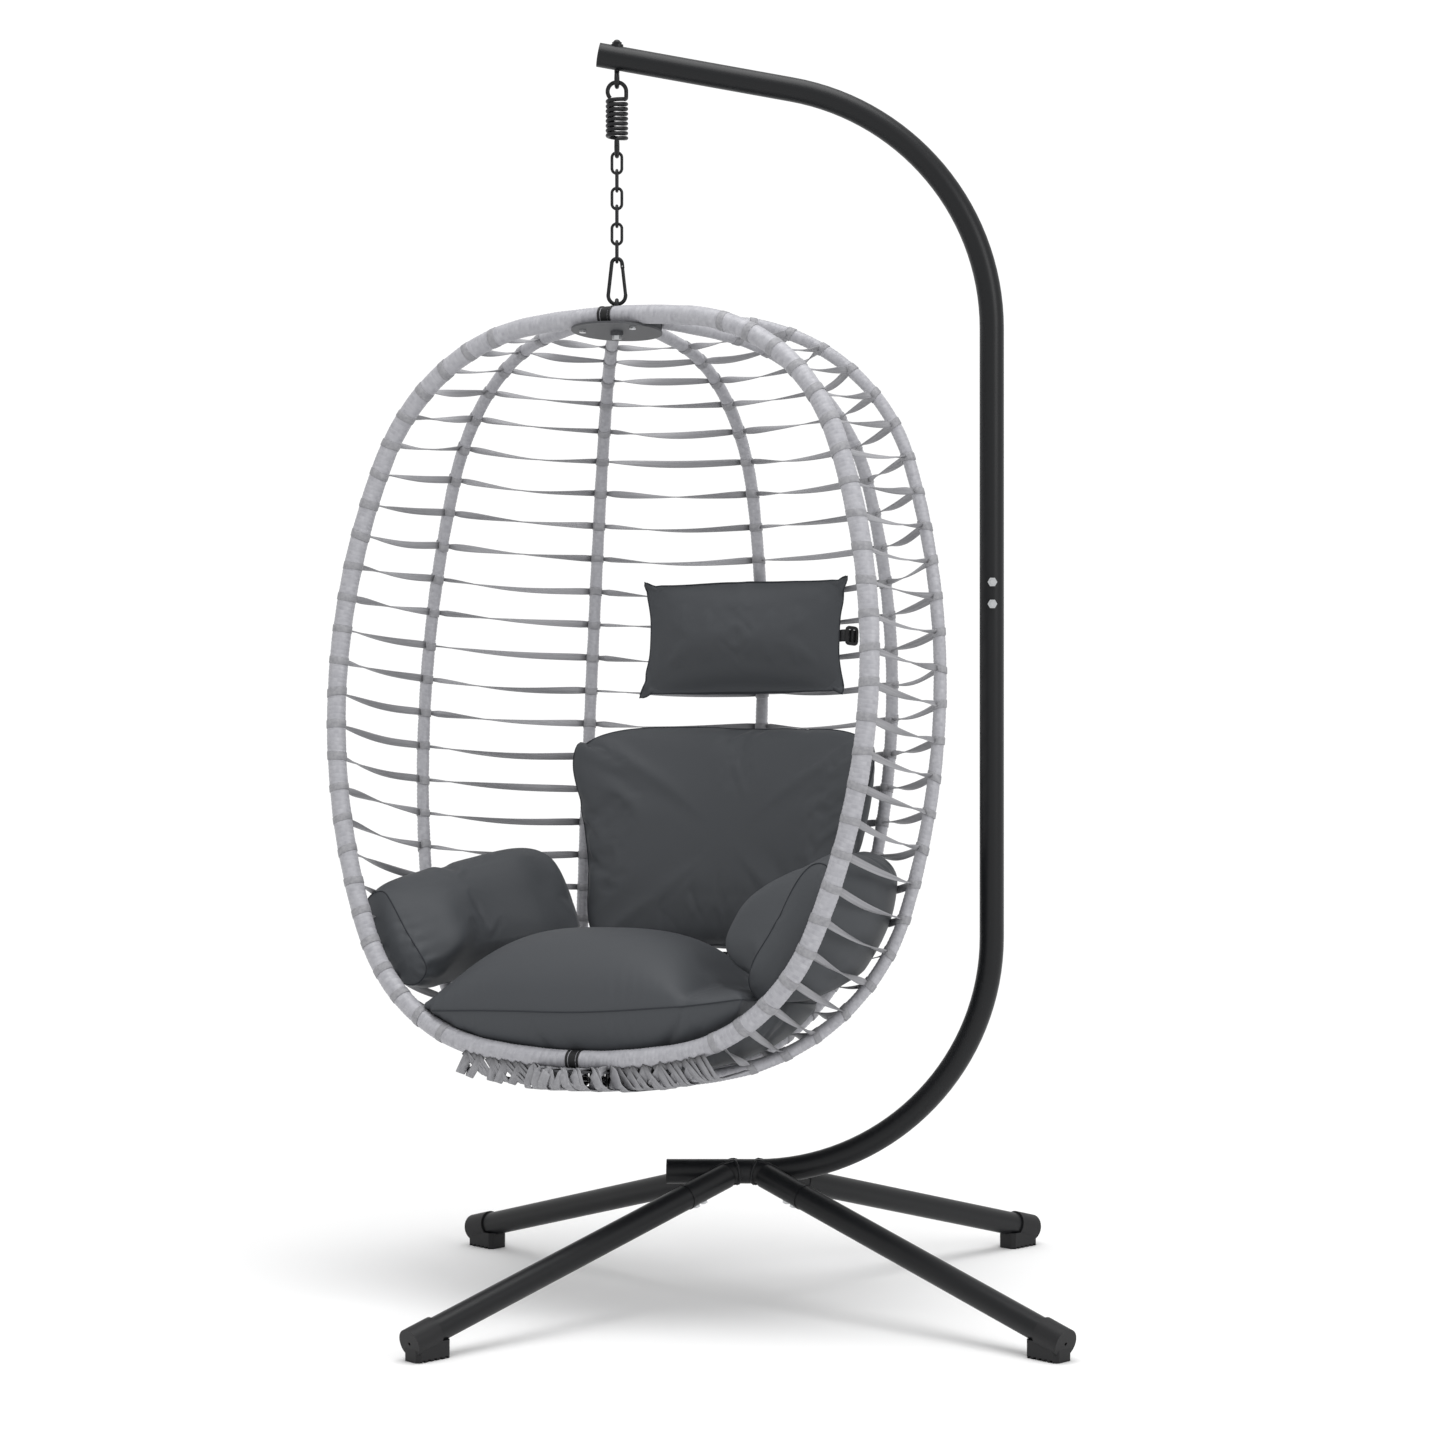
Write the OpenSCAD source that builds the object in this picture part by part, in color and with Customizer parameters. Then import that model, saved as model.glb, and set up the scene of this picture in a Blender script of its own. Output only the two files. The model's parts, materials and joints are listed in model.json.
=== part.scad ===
// Hanging egg chair: a wrapped wire basket with cushions, hung by a spring,
// a chain and a snap hook from a bent tube stand on four splayed legs.
// The origin is on the floor under the middle of the whole chair, +Z is up,
// and +X runs from the free end of the base tube towards the pole.

/* [Stand] */
// Outside diameter of every stand tube
tube_od = 38; // [32:0.5:44]
// Wall of the stand tubes
tube_wall = 1.5; // [1:0.1:3]
// Height of the base tube's centre line
base_z = 197; // [185:1:230]
// Distance from the middle of the legs to the free end of the base tube
base_reach = 121; // [90:1:200]
// Distance from the middle of the legs to the pole's axis
pole_x = 383; // [360:1:420]
// Centre-line radius of the lower bend
lower_bend_r = 365; // [300:1:365]
// Centre-line radius of the upper bend
upper_bend_r = 378; // [330:1:390]
// Height of the joint between the two poles
pole_joint_z = 1056; // [900:1:1100]
// Height at which the upper bend starts
top_bend_z = 1510; // [1500:1:1560]
// Rise of the beam towards its free end, in degrees
beam_slope = 10.2; // [6:0.1:14]
// Straight length of the beam after the bend
beam_len = 304; // [300:1:340]
// Length of the spigot that the upper pole slides over
spigot_len = 90; // [80:1:120]
// Radial play between a spigot and the tube around it
spigot_play = 0.15; // [0.1:0.05:0.4]
// Thickness of the plugs that close the tube ends
plug_face = 2.5; // [1.5:0.5:5]

/* [Legs] */
// How far the legs' ends stand out along X and along Y
leg_spread = 452; // [400:1:500]
// Distance along X from the middle to the root of each leg
leg_root_x = 17; // [12:1:24]
// Height of a leg's centre line at its outer end
leg_end_z = 26; // [24:0.5:32]
// Distance along a leg from its root to the end of the welded socket
socket_len = 102; // [95:1:130]
// Length of the lip at the root end of a leg
leg_lip_len = 6; // [4:1:12]
// Outside diameter of the foot caps
cap_od = 44; // [43:0.5:50]
// Length of the foot caps along the leg
cap_len = 45; // [35:1:60]
// Thickness of the end wall of a foot cap
cap_end = 4; // [2:0.5:6]
// Length of the foot block on the floor
foot_len = 62; // [50:1:80]
// Width of the foot block on the floor
foot_w = 36; // [28:1:44]
// Depth of the grooves under the foot
groove_depth = 3; // [2:0.5:5]

/* [Fasteners] */
// Shank diameter of the two pole bolts
pole_bolt_d = 8; // [6:1:10]
// Width across flats of the pole bolts and nuts
pole_bolt_af = 13; // [13:1:16]
// Heights of the two pole bolts above the pole joint
pole_bolt_rise = [25, 59]; // [20:1:80]
// Shank diameter of the leg and hub bolts
small_bolt_d = 6; // [4:0.5:6]
// Width across flats of the leg and hub bolts
small_bolt_af = 10; // [10:1:12]
// Distances of the two leg bolts from the leg's root
leg_bolt_at = [74, 90]; // [60:1:95]
// Radial clearance of a bolt in its hole
hole_play = 0.2; // [0.1:0.05:0.5]

/* [Hanging gear] */
// Distance from the middle of the legs to the hanging axis
hang_x = -201; // [-220:1:-180]
// Wire diameter of the eye bolt
eye_wire = 7; // [6:0.5:8]
// Centre-line radius of the eye
eye_r = 10.7; // [9:0.1:12]
// Wire diameter of the spring
spring_wire = 6.5; // [5:0.1:7]
// Centre-line radius of the spring and its hooks
spring_r = 14.5; // [13:0.1:18]
// Number of turns in the spring
spring_turns = 8.25; // [5.25:1:10.25]
// Rise of one turn of the unloaded spring
spring_pitch = 7.57; // [7.2:0.01:9]
// Radius of the bend from the coil into a hook
spring_elbow_r = 5.5; // [4.5:0.5:8]
// Number of links in the chain
link_count = 6; // [6:1:6]
// Wire diameter of the chain
link_wire = 4.6; // [4:0.1:5]
// Outside length of a chain link
link_len = 37.15; // [34:0.05:42]
// Outside width of a chain link
link_w = 20; // [19:0.1:24]
// Wire diameter of the snap hook
hook_wire = 6; // [5:0.1:7]
// Distance between the wire centres at the ends of the snap hook
hook_len = 71; // [66:1:80]
// Outside width of the snap hook at its wide end
hook_wide = 33; // [31:0.5:38]
// Outside width of the snap hook at its narrow end
hook_narrow = 22; // [21:0.5:26]
// Diameter of the gate's hinge pin
gate_pin_d = 2; // [1.5:0.1:3]
// Wire diameter of the hub eye
hub_eye_wire = 6; // [5:0.5:7]
// Centre-line radius of the hub eye
hub_eye_r = 9; // [8:0.5:12]
// Diameter of the swivel shank under the hub eye
shank_d = 8; // [6:0.5:10]
// Radial running play of the swivel shank in its sleeve
swivel_play = 0.05; // [0.02:0.01:0.1]
// Play between two wires that hang in each other
wire_play = 0.3; // [0.2:0.05:0.5]

/* [Basket frame] */
// Turn of the basket about the hanging axis, in degrees
basket_turn = 27.2; // [-45:0.1:45]
// Forward lean of the hanging basket, in degrees
basket_lean = 7.5; // [0:0.1:10]
// Sideways lean of the hanging basket, in degrees
basket_roll = -1.7; // [-3:0.1:3]
// Radius of the hub plates
hub_r = 71; // [65:1:85]
// Thickness of the hub plates
hub_t = 3; // [2:0.5:5]
// Outside diameter of the swivel sleeve in the upper hub
sleeve_od = 20; // [18:0.5:24]
// Outside diameter of the hoop's steel core
hoop_core = 25; // [22:0.5:28]
// Outside diameter of the hoop over its winding
hoop_od = 30; // [29:0.5:34]
// Outside diameter of a rib's steel core
rib_core = 16; // [12:0.5:17]
// Outside diameter of a rib over its winding
rib_od = 20; // [18:0.5:24]
// Wall of the hoop's tube
hoop_wall = 3; // [1:0.1:4]
// Wall of a rib's tube
rib_wall = 1.5; // [1:0.1:2.5]
// Distance of the hoop's plane in front of the hub's middle
hoop_forward = 28; // [26:1:34]
// Radii of the hoop's crown, shoulder, side and hip
hoop_radii = [1330, 322, 979, 292]; // [200:1:2000]
// Angles of the hoop's crown, shoulder, side and hip, in degrees
hoop_angles = [6, 62.5, 45, 56.9]; // [3:0.1:80]
// Radii of a rib's crown, shoulder, side and hip
rib_radii = [1814, 305, 1236, 349]; // [200:1:2000]
// Angles of a rib's crown, shoulder, side and hip, in degrees
rib_angles = [4.8, 67.6, 32.6, 61.4]; // [3:0.1:80]
// Directions of the five ribs round the hub, in degrees from the left
rib_turns = [25, 57, 90, 123, 155]; // [20:1:160]
// Distance of a rib's end from the hub's axis
rib_root_r = 45; // [40:1:55]
// Height of a rib's end above the upper hub plate
rib_root_z = 22.5; // [20:0.5:30]
// Length of the black sleeve over each joint of the hoop
joint_len = 12; // [8:1:20]

/* [Weave] */
// Width of a weaving strip
strip_w = 12; // [8:0.5:16]
// Thickness of a weaving strip
strip_t = 1.5; // [1:0.1:2.5]
// Spacing of the strips along a rib
strip_pitch = 55.6; // [50:0.1:70]
// Distance along a rib from its end to the first strip
strip_start = 170; // [150:1:200]
// Strip spacing on the hoop as a share of the spacing on the ribs
hoop_crowding = 0.915; // [0.85:0.005:1]

/* [Cushions] */
// Half width of the seat cushion's front seam
seat_half_w = 262; // [230:1:270]
// Depth of the seat cushion from front to back
seat_depth = 300; // [260:1:320]
// Height of the seat cushion's seam above the hoop's bottom
seat_seam_rise = 82.5; // [78:0.5:100]
// Crown of the seat cushion above its seam
seat_crown = 118; // [80:1:125]
// Length of an arm cushion along the basket's wall
arm_len = 330; // [220:1:340]
// Height of an arm cushion
arm_h = 200; // [170:1:210]
// Thickness of an arm cushion
arm_t = 100; // [80:1:110]
// Width of the back cushion at its top
back_w = 560; // [500:1:600]
// Height of the back cushion
back_h = 330; // [300:1:350]
// Thickness of the back cushion
back_t = 98; // [90:1:125]
// Width of the head pillow
pillow_w = 392; // [340:1:410]
// Height of the head pillow
pillow_h = 200; // [160:1:220]
// Thickness of the head pillow
pillow_t = 84; // [70:1:100]
// Width of the elastic strap behind the head pillow
strap_w = 20; // [15:1:30]
// Thickness of the elastic strap
strap_t = 1.5; // [1:0.1:2.5]

/* [Hidden] */

$fn = 48;
eps = 0.05;
black = "#232426";
dark = "#3c3d40";
steel = "#c4c6c8";
rattan = "#b4b5b9";
cloth = "#55595c";

// The legs' middle stands this far along X, so that the chair's box is centred on the origin
stand_x = 90;

tube_id = tube_od - 2 * tube_wall;
beam_turn = 90 - beam_slope;
beam_start = [pole_x - upper_bend_r * (1 - cos(beam_turn)), top_bend_z + upper_bend_r * sin(beam_turn)];
beam_end = beam_start + beam_len * [-cos(beam_slope), sin(beam_slope)];

leg_run = leg_spread * sqrt(2);
leg_slope = atan((base_z - leg_end_z) / leg_run);
leg_len = leg_run / cos(leg_slope);
leg_signs = [[-1, -1], [1, -1], [-1, 1], [1, 1]];
socket_start = 20;
spigot_back = 50;

bolt_head = 0.62;
nut_h = 0.8 * pole_bolt_d;

beam_z_at_hang = beam_end.y - (hang_x - beam_end.x) * tan(beam_slope);
beam_half = tube_od / 2 / cos(beam_slope);
eye_gap = 0.5;
eye_z = beam_z_at_hang - beam_half - eye_gap - eye_wire / 2 - eye_r;
eye_shank = 8;
washer_top = beam_z_at_hang + beam_half + 1.5;
dome_nut_h = 4;
dome_r = pole_bolt_af / 2;

// Wire centres down the hanging gear, each hung in the one above
hook_top_z = eye_z - eye_r + (eye_wire + spring_wire) / 2 + wire_play;
upper_hook_z = hook_top_z - spring_r;
coil_top_z = upper_hook_z - spring_wire - spring_elbow_r;
coil_len = spring_turns * spring_pitch;
coil_bottom_z = coil_top_z - coil_len;
lower_hook_z = coil_bottom_z - spring_wire - spring_elbow_r;
link_reach = link_len - link_wire;
link_1_top = lower_hook_z - spring_r + (spring_wire + link_wire) / 2 + wire_play;
link_drop = link_reach - link_wire - wire_play;
chain_bottom_z = link_1_top - (link_count - 1) * link_drop - link_reach;
hook_upper_z = chain_bottom_z + (link_wire + hook_wire) / 2 + wire_play;
hook_lower_z = hook_upper_z - hook_len;
hub_eye_z = hook_lower_z + (hook_wire + hub_eye_wire) / 2 + wire_play - hub_eye_r;

hook_wide_r = (hook_wide - hook_wire) / 2;
hook_narrow_r = (hook_narrow - hook_wire) / 2;
hook_span = hook_len - hook_wide_r - hook_narrow_r;
hook_flare = asin((hook_wide_r - hook_narrow_r) / hook_span);
hook_side = hook_span * cos(hook_flare);
gate_gap = 0.3;
gate_pin_from_top = 5;
cheek_t = 0.9;
cheek_in = 2.1;
gate_flat = 3.6;
splice = 1;

flange_d = 23;
flange_t = 3;
flange_top_z = hub_eye_z - hub_eye_r + hub_eye_wire + 1;
sleeve_top_z = flange_top_z - flange_t - wire_play;
hub_z = sleeve_top_z - 32.5;
nut_play = 0.3;
sleeve_foot = 8;

// The hoop's fall across the plate takes up most of this
hoop_seat = 2;
hoop_start = [0, hoop_od / 2 + hoop_seat];
rib_start = [rib_root_r, rib_root_z];
hoop_bottom_z = path_end(hoop_radii, hoop_angles, hoop_start).y;
rib_bottom_z = path_end(rib_radii, rib_angles, rib_start).y;
bottom_plate_z = hoop_bottom_z - hoop_od / 2 - 0.4;
hoop_length = path_length(hoop_radii, hoop_angles, hoop_start);
rib_length = path_length(rib_radii, rib_angles, rib_start);
core_play = 0.15;
joint_slit = 0.02;
backing_len = 8;
lug_t = 3;
lug_gap = 0.3;
pivot_r = rib_root_r + 12;
hoop_bolt_u = 45;

strip_count = floor((rib_length - 2 * strip_start) / strip_pitch) + 1;
strip_inset = 0.2;

// --- Paths made of tangent arcs -------------------------------------------------------------
// A path starts level, heading outwards, and turns downwards through 180 degrees in all.
// The last arc closes it, back to the radius at which it started.
function angle_sum(angles, k) = k == 0 ? 0 : angle_sum(angles, k - 1) + angles[k - 1];
function arc_angle(angles, k) = k < len(angles) ? angles[k] : 180 - angle_sum(angles, len(angles));
function heading(t) = [sin(t), cos(t)];
function arc_start(radii, angles, start, k) = k == 0
  ? start
  : arc_start(radii, angles, start, k - 1)
    + arc_radius(radii, angles, start, k - 1)
      * (heading(angle_sum(angles, k)) - heading(angle_sum(angles, k - 1)));
function arc_radius(radii, angles, start, k) = k < len(radii)
  ? radii[k]
  : (arc_start(radii, angles, start, k).x - start.x) / sin(angle_sum(angles, k));
function arc_centre(radii, angles, start, k) =
  arc_start(radii, angles, start, k)
  - arc_radius(radii, angles, start, k) * heading(angle_sum(angles, k));
function arc_len(radii, angles, start, k) =
  arc_radius(radii, angles, start, k) * arc_angle(angles, k) * PI / 180;
function path_length(radii, angles, start, k = 0) = k > len(radii)
  ? 0
  : arc_len(radii, angles, start, k) + path_length(radii, angles, start, k + 1);
function path_end(radii, angles, start) =
  arc_centre(radii, angles, start, len(radii)) - [0, arc_radius(radii, angles, start, len(radii))];
function path_turn(radii, angles, start, s, k = 0) =
  s <= arc_len(radii, angles, start, k) || k == len(radii)
  ? [k, angle_sum(angles, k) + s / arc_radius(radii, angles, start, k) * 180 / PI]
  : path_turn(radii, angles, start, s - arc_len(radii, angles, start, k), k + 1);
function path_point(radii, angles, start, s) =
  let (turn = path_turn(radii, angles, start, s))
  arc_centre(radii, angles, start, turn[0])
  + arc_radius(radii, angles, start, turn[0]) * heading(turn[1]);

function rib_point(s) = path_point(rib_radii, rib_angles, rib_start, s);
function hoop_point(s) = path_point(hoop_radii, hoop_angles, hoop_start, s);
function rib_turn(s) = path_turn(rib_radii, rib_angles, rib_start, s)[1];

// A place on the basket's wall: direction from the left, distance down a rib, depth inwards
function wall_point(turn, s, depth) =
  let (p = rib_point(s) - depth * heading(rib_turn(s)))
  [-p.x * cos(turn), p.x * sin(turn), p.y];

// Each arc stops just short of the next, and a backing ring inside the wall joins the two
module bent_tube(radii, angles, start, outer, inner) {
  for (k = [0 : len(radii)]) {
    centre = arc_centre(radii, angles, start, k);
    radius = arc_radius(radii, angles, start, k);
    slit = joint_slit / radius * 180 / PI;
    sweep = arc_angle(angles, k) - slit;
    translate([centre.x, 0, centre.y])
      rotate([90, 0, 0])
        rotate([0, 0, 90 - angle_sum(angles, k) - sweep])
          rotate_extrude(angle = sweep, $fn = 96)
            translate([radius, 0])
              difference() {
                circle(d = outer);
                circle(d = inner);
              }
  }
  for (k = [1 : len(radii)]) {
    joint = arc_start(radii, angles, start, k);
    translate([joint.x, 0, joint.y])
      rotate([0, angle_sum(angles, k) + 90, 0])
        backing_ring(outer, inner);
  }
}

// A ring along +Z, centred on the origin, that bites into the inner side of a tube's wall
module backing_ring(outer, inner) {
  bite = (outer - inner) / 4;
  translate([0, 0, -backing_len / 2])
    pipe(backing_len, outer - bite, inner + bite / 2);
}

// --- Small shared shapes --------------------------------------------------------------------
module pipe(length, outer, inner) {
  difference() {
    cylinder(d = outer, h = length);
    translate([0, 0, -1]) cylinder(d = inner, h = length + 2);
  }
}

module hexagon(across, height) {
  cylinder(d = across / cos(30), h = height, $fn = 6);
}

// A round wire bent through an angle, in the XZ plane, from the +X side upwards
module wire_arc(radius, wire, angle) {
  rotate([90, 0, 0])
    rotate_extrude(angle = angle)
      translate([radius, 0]) circle(d = wire, $fn = 32);
}

module on_stand() {
  translate([stand_x, 0, 0]) children();
}

module on_hanger(z) {
  translate([stand_x + hang_x, 0, z]) children();
}

module in_leg(signs) {
  on_stand()
    translate([leg_root_x * signs.x, 0, base_z])
      rotate([0, 0, atan2(signs.y, signs.x)])
        rotate([0, leg_slope, 0])
          rotate([0, 90, 0])
            children();
}

module in_basket() {
  on_hanger(hub_z)
    rotate([0, 0, -basket_turn])
      rotate([-basket_lean, 0, 0])
        rotate([0, basket_roll, 0])
          children();
}

module in_rib(turn) {
  rotate([0, 0, 180 - turn]) children();
}

// --- Stand ----------------------------------------------------------------------------------
module lower_run(outer, inner) {
  straight = base_reach + pole_x - lower_bend_r;
  translate([-base_reach, 0, base_z])
    rotate([0, 90, 0])
      pipe(straight, outer, inner);
  translate([pole_x - lower_bend_r, 0, base_z + lower_bend_r])
    rotate([90, 0, 0])
      rotate([0, 0, -90])
        rotate_extrude(angle = 90, $fn = 96)
          translate([lower_bend_r, 0])
            difference() {
              circle(d = outer);
              circle(d = inner);
            }
  translate([pole_x, 0, base_z + lower_bend_r])
    pipe(pole_joint_z - base_z - lower_bend_r, outer, inner);
}

module pole_bolt_holes() {
  for (rise = pole_bolt_rise)
    translate([pole_x, tube_od, pole_joint_z + rise])
      rotate([90, 0, 0])
        cylinder(d = pole_bolt_d + 2 * hole_play, h = 2 * tube_od);
}

module lower_pole() {
  spigot_od = tube_id - 2 * spigot_play;
  color(black) on_stand() difference() {
    union() {
      lower_run(tube_od, tube_id);
      translate([pole_x, 0, pole_joint_z])
        pipe(spigot_len, spigot_od, spigot_od - 2 * tube_wall);
      translate([pole_x, 0, pole_joint_z - spigot_back])
        pipe(spigot_back, tube_id + tube_wall, spigot_od - 2 * tube_wall);
    }
    pole_bolt_holes();
  }
}

module upper_pole() {
  color(black) on_stand() difference() {
    union() {
      translate([pole_x, 0, pole_joint_z])
        pipe(top_bend_z - pole_joint_z, tube_od, tube_id);
      translate([pole_x - upper_bend_r, 0, top_bend_z])
        rotate([90, 0, 0])
          rotate_extrude(angle = beam_turn, $fn = 96)
            translate([upper_bend_r, 0])
              difference() {
                circle(d = tube_od);
                circle(d = tube_id);
              }
      translate([beam_start.x, 0, beam_start.y])
        rotate([0, -90 + beam_slope, 0]) {
          translate([0, 0, joint_slit]) pipe(beam_len - joint_slit, tube_od, tube_id);
          backing_ring(tube_od, tube_id);
        }
    }
    pole_bolt_holes();
    translate([hang_x, 0, beam_z_at_hang - tube_od])
      cylinder(d = eye_shank + 2 * hole_play, h = 2 * tube_od);
  }
}

module tube_plug(along) {
  bore = tube_id - 2 * core_play;
  translate([0, 0, -along]) cylinder(d = bore, h = along);
  cylinder(d = tube_od, h = plug_face);
}

module tube_plugs() {
  grip = 14;
  color(black) on_stand() {
    translate([-base_reach, 0, base_z]) rotate([0, -90, 0]) tube_plug(grip);
    translate([beam_end.x, 0, beam_end.y])
      rotate([0, -90 + beam_slope, 0])
        tube_plug(grip);
  }
}

module leg_bolt_holes(length) {
  for (along = leg_bolt_at)
    translate([0, 0, along])
      rotate([0, 90, 0])
        cylinder(d = small_bolt_d + 2 * hole_play, h = length);
}

module leg_sockets() {
  color(black) for (signs = leg_signs)
    difference() {
      in_leg(signs)
        translate([0, 0, socket_start])
          pipe(socket_len - socket_start, tube_od, tube_id);
      on_stand() lower_run(tube_od + 2 * eps, 0);
      in_leg(signs) leg_bolt_holes(tube_od);
    }
}

module leg(signs) {
  spigot_od = tube_id - 2 * spigot_play;
  spigot_id = spigot_od - 2 * tube_wall;
  color(black) in_leg(signs) difference() {
    union() {
      translate([0, 0, socket_len - spigot_back])
        pipe(spigot_back, spigot_od, spigot_id);
      translate([0, 0, socket_len])
        pipe(spigot_back, tube_od - tube_wall, spigot_id);
      translate([0, 0, socket_len])
        pipe(leg_lip_len, tube_od + 2, spigot_id);
      translate([0, 0, socket_len])
        pipe(leg_len - cap_end - socket_len, tube_od, tube_id);
    }
    leg_bolt_holes(tube_od);
  }
}

module foot_caps() {
  for (signs = leg_signs) foot_cap(signs);
}

module foot_cap(signs) {
  run_end = (leg_len - cap_end / 2) * cos(leg_slope);
  groove = foot_len / 12;
  chamfer = 6;
  color(black) difference() {
    union() {
      in_leg(signs)
        translate([0, 0, leg_len - cap_len])
          cylinder(d = cap_od, h = cap_len);
      on_stand()
        translate([leg_root_x * signs.x, 0, 0])
          rotate([0, 0, atan2(signs.y, signs.x)])
            translate([run_end - foot_len, 0, 0])
              linear_extrude(leg_end_z)
                polygon([
                  [0, -foot_w / 2 + chamfer], [chamfer, -foot_w / 2],
                  [foot_len - chamfer, -foot_w / 2], [foot_len, -foot_w / 2 + chamfer],
                  [foot_len, foot_w / 2 - chamfer], [foot_len - chamfer, foot_w / 2],
                  [chamfer, foot_w / 2], [0, foot_w / 2 - chamfer]
                ]);
    }
    in_leg(signs)
      translate([0, 0, leg_len - 2 * cap_len])
        cylinder(d = tube_od + 2 * core_play, h = 2 * cap_len - cap_end);
    in_leg(signs)
      translate([0, 0, leg_len - cap_end - 1])
        cylinder(d = 5, h = cap_end + 2);
    on_stand()
      translate([leg_root_x * signs.x, 0, 0])
        rotate([0, 0, atan2(signs.y, signs.x)])
          for (k = [1 : 5])
            translate([run_end - foot_len + 2 * k * groove - groove / 2, -foot_w, -1])
              cube([groove, 2 * foot_w, groove_depth + 1]);
  }
}

module pole_bolts() {
  grip = tube_od + 2 * bolt_head * pole_bolt_d + 4;
  color(steel) on_stand() for (rise = pole_bolt_rise)
    translate([pole_x, tube_od / 2, pole_joint_z + rise])
      rotate([90, 0, 0]) {
        translate([0, 0, -bolt_head * pole_bolt_d])
          hexagon(pole_bolt_af, bolt_head * pole_bolt_d);
        cylinder(d = pole_bolt_d, h = grip);
      }
}

module pole_nuts() {
  color(steel) on_stand() for (rise = pole_bolt_rise)
    translate([pole_x, -tube_od / 2, pole_joint_z + rise])
      rotate([90, 0, 0])
        difference() {
          hexagon(pole_bolt_af, nut_h);
          translate([0, 0, -1]) cylinder(d = pole_bolt_d + 2 * eps, h = nut_h + 2);
        }
}

module leg_bolts() {
  inside = 6;
  color(steel) for (signs = leg_signs)
    in_leg(signs)
      for (along = leg_bolt_at)
        translate([tube_od / 2, 0, along])
          rotate([0, 90, 0]) {
            hexagon(small_bolt_af, bolt_head * small_bolt_d);
            translate([0, 0, -inside]) cylinder(d = small_bolt_d, h = inside + 1);
          }
}

// --- Hanging gear ---------------------------------------------------------------------------
module eye_bolt() {
  shank_top = washer_top + dome_nut_h + 1;
  color(black) on_hanger(0) {
    translate([0, 0, eye_z])
      rotate([0, 90, 0])
        rotate_extrude() translate([eye_r, 0]) circle(d = eye_wire, $fn = 32);
    translate([0, 0, eye_z + eye_r])
      cylinder(d = eye_shank, h = shank_top - eye_z - eye_r);
  }
}

module eye_washer() {
  washer_d = 20;
  color(black) difference() {
    on_hanger(washer_top - 5)
      difference() {
        cylinder(d = washer_d, h = 5);
        translate([0, 0, -1]) cylinder(d = eye_shank + 2 * hole_play, h = 7);
      }
    on_stand()
      translate([beam_end.x, 0, beam_end.y])
        rotate([0, 90 + beam_slope, 0])
          cylinder(d = tube_od + 2 * eps, h = beam_len / 2);
  }
}

module dome_nut() {
  bore_top = dome_nut_h + 1.5;
  color(black) on_hanger(washer_top + eps) difference() {
    union() {
      hexagon(pole_bolt_af, dome_nut_h);
      intersection() {
        translate([0, 0, dome_nut_h - 2.5]) sphere(r = dome_r);
        translate([0, 0, 1]) cylinder(d = pole_bolt_af, h = 2 * dome_r);
      }
    }
    translate([0, 0, -1]) cylinder(d = eye_shank + 2 * eps, h = bore_top + 1);
  }
}

// Each hook ends short of the coil's nearest turn
spring_hook_sweep = 225;
module spring_upper_hook() {
  color(black) on_hanger(upper_hook_z) wire_arc(spring_r, spring_wire, spring_hook_sweep);
}

module spring_lower_hook() {
  color(black) on_hanger(lower_hook_z)
    rotate([0, 0, -90])
      rotate([180, 0, 0])
        wire_arc(spring_r, spring_wire, spring_hook_sweep);
}

// The spring's centre line: a straight end, an elbow, the helix, an elbow, a straight end
coil_steps = 8;
elbow_steps = 4;
coil_sides = 6;
coil_first = -90;
elbow_back = spring_elbow_r / spring_r * 180 / PI;

function helix_point(turns) =
  let (a = coil_first + 360 * turns)
  [spring_r * cos(a), spring_r * sin(a), coil_bottom_z + turns * spring_pitch];
function spring_end(at_angle, z, up, k) =
  let (
    t = 90 * k / elbow_steps,
    back = elbow_back * (1 - sin(t)),
    a = at_angle - up * back
  )
  [spring_r * cos(a), spring_r * sin(a), z + up * spring_elbow_r * (1 - cos(t))];

coil_turn_first = elbow_back / 360;
coil_turn_last = spring_turns - elbow_back / 360;
coil_rings = round((coil_turn_last - coil_turn_first) * coil_steps);
coil_last = coil_first + 360 * spring_turns;
coil_path = concat(
  [helix_end(coil_first, coil_bottom_z - spring_elbow_r - spring_wire + joint_slit)],
  [for (k = [elbow_steps : -1 : 1]) spring_end(coil_first, coil_bottom_z, -1, k)],
  [for (k = [0 : coil_rings])
    helix_point(coil_turn_first + (coil_turn_last - coil_turn_first) * k / coil_rings)],
  [for (k = [1 : elbow_steps]) spring_end(coil_last, coil_top_z, 1, k)],
  [helix_end(coil_last, coil_top_z + spring_elbow_r + spring_wire - joint_slit)]
);
function helix_end(a, z) = [spring_r * cos(a), spring_r * sin(a), z];

// Least distance between the wire, skin to skin, on neighbouring turns
function turn_gaps(path, apart) = [
  for (i = [0 : len(path) - 1])
    for (j = [i + apart : 1 : len(path) - 1])
      norm(path[i] - path[j]) - spring_wire
];
coil_gap = min(turn_gaps(coil_path, coil_steps - 2));
echo(spring_least_gap_mm = coil_gap);

function unit(v) = v / norm(v);
function path_tangent(path, i) = i == 0 || i == len(path) - 1
  ? [0, 0, 1]
  : unit(path[i + 1] - path[i - 1]);

// A tube round a path: each ring keeps one side towards the spring's axis
function ring_points(path, i, r, sides) =
  let (
    t = path_tangent(path, i),
    inward = unit([path[i].x, path[i].y, 0]),
    side = unit(cross(t, inward)),
    out = cross(side, t)
  )
  [for (k = [0 : sides - 1])
    path[i] + r * (cos(360 * k / sides) * out + sin(360 * k / sides) * side)];

function signed_tangent(path, i) = i == 0 ? [0, 0, 1] : path_tangent(path, i);

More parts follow.
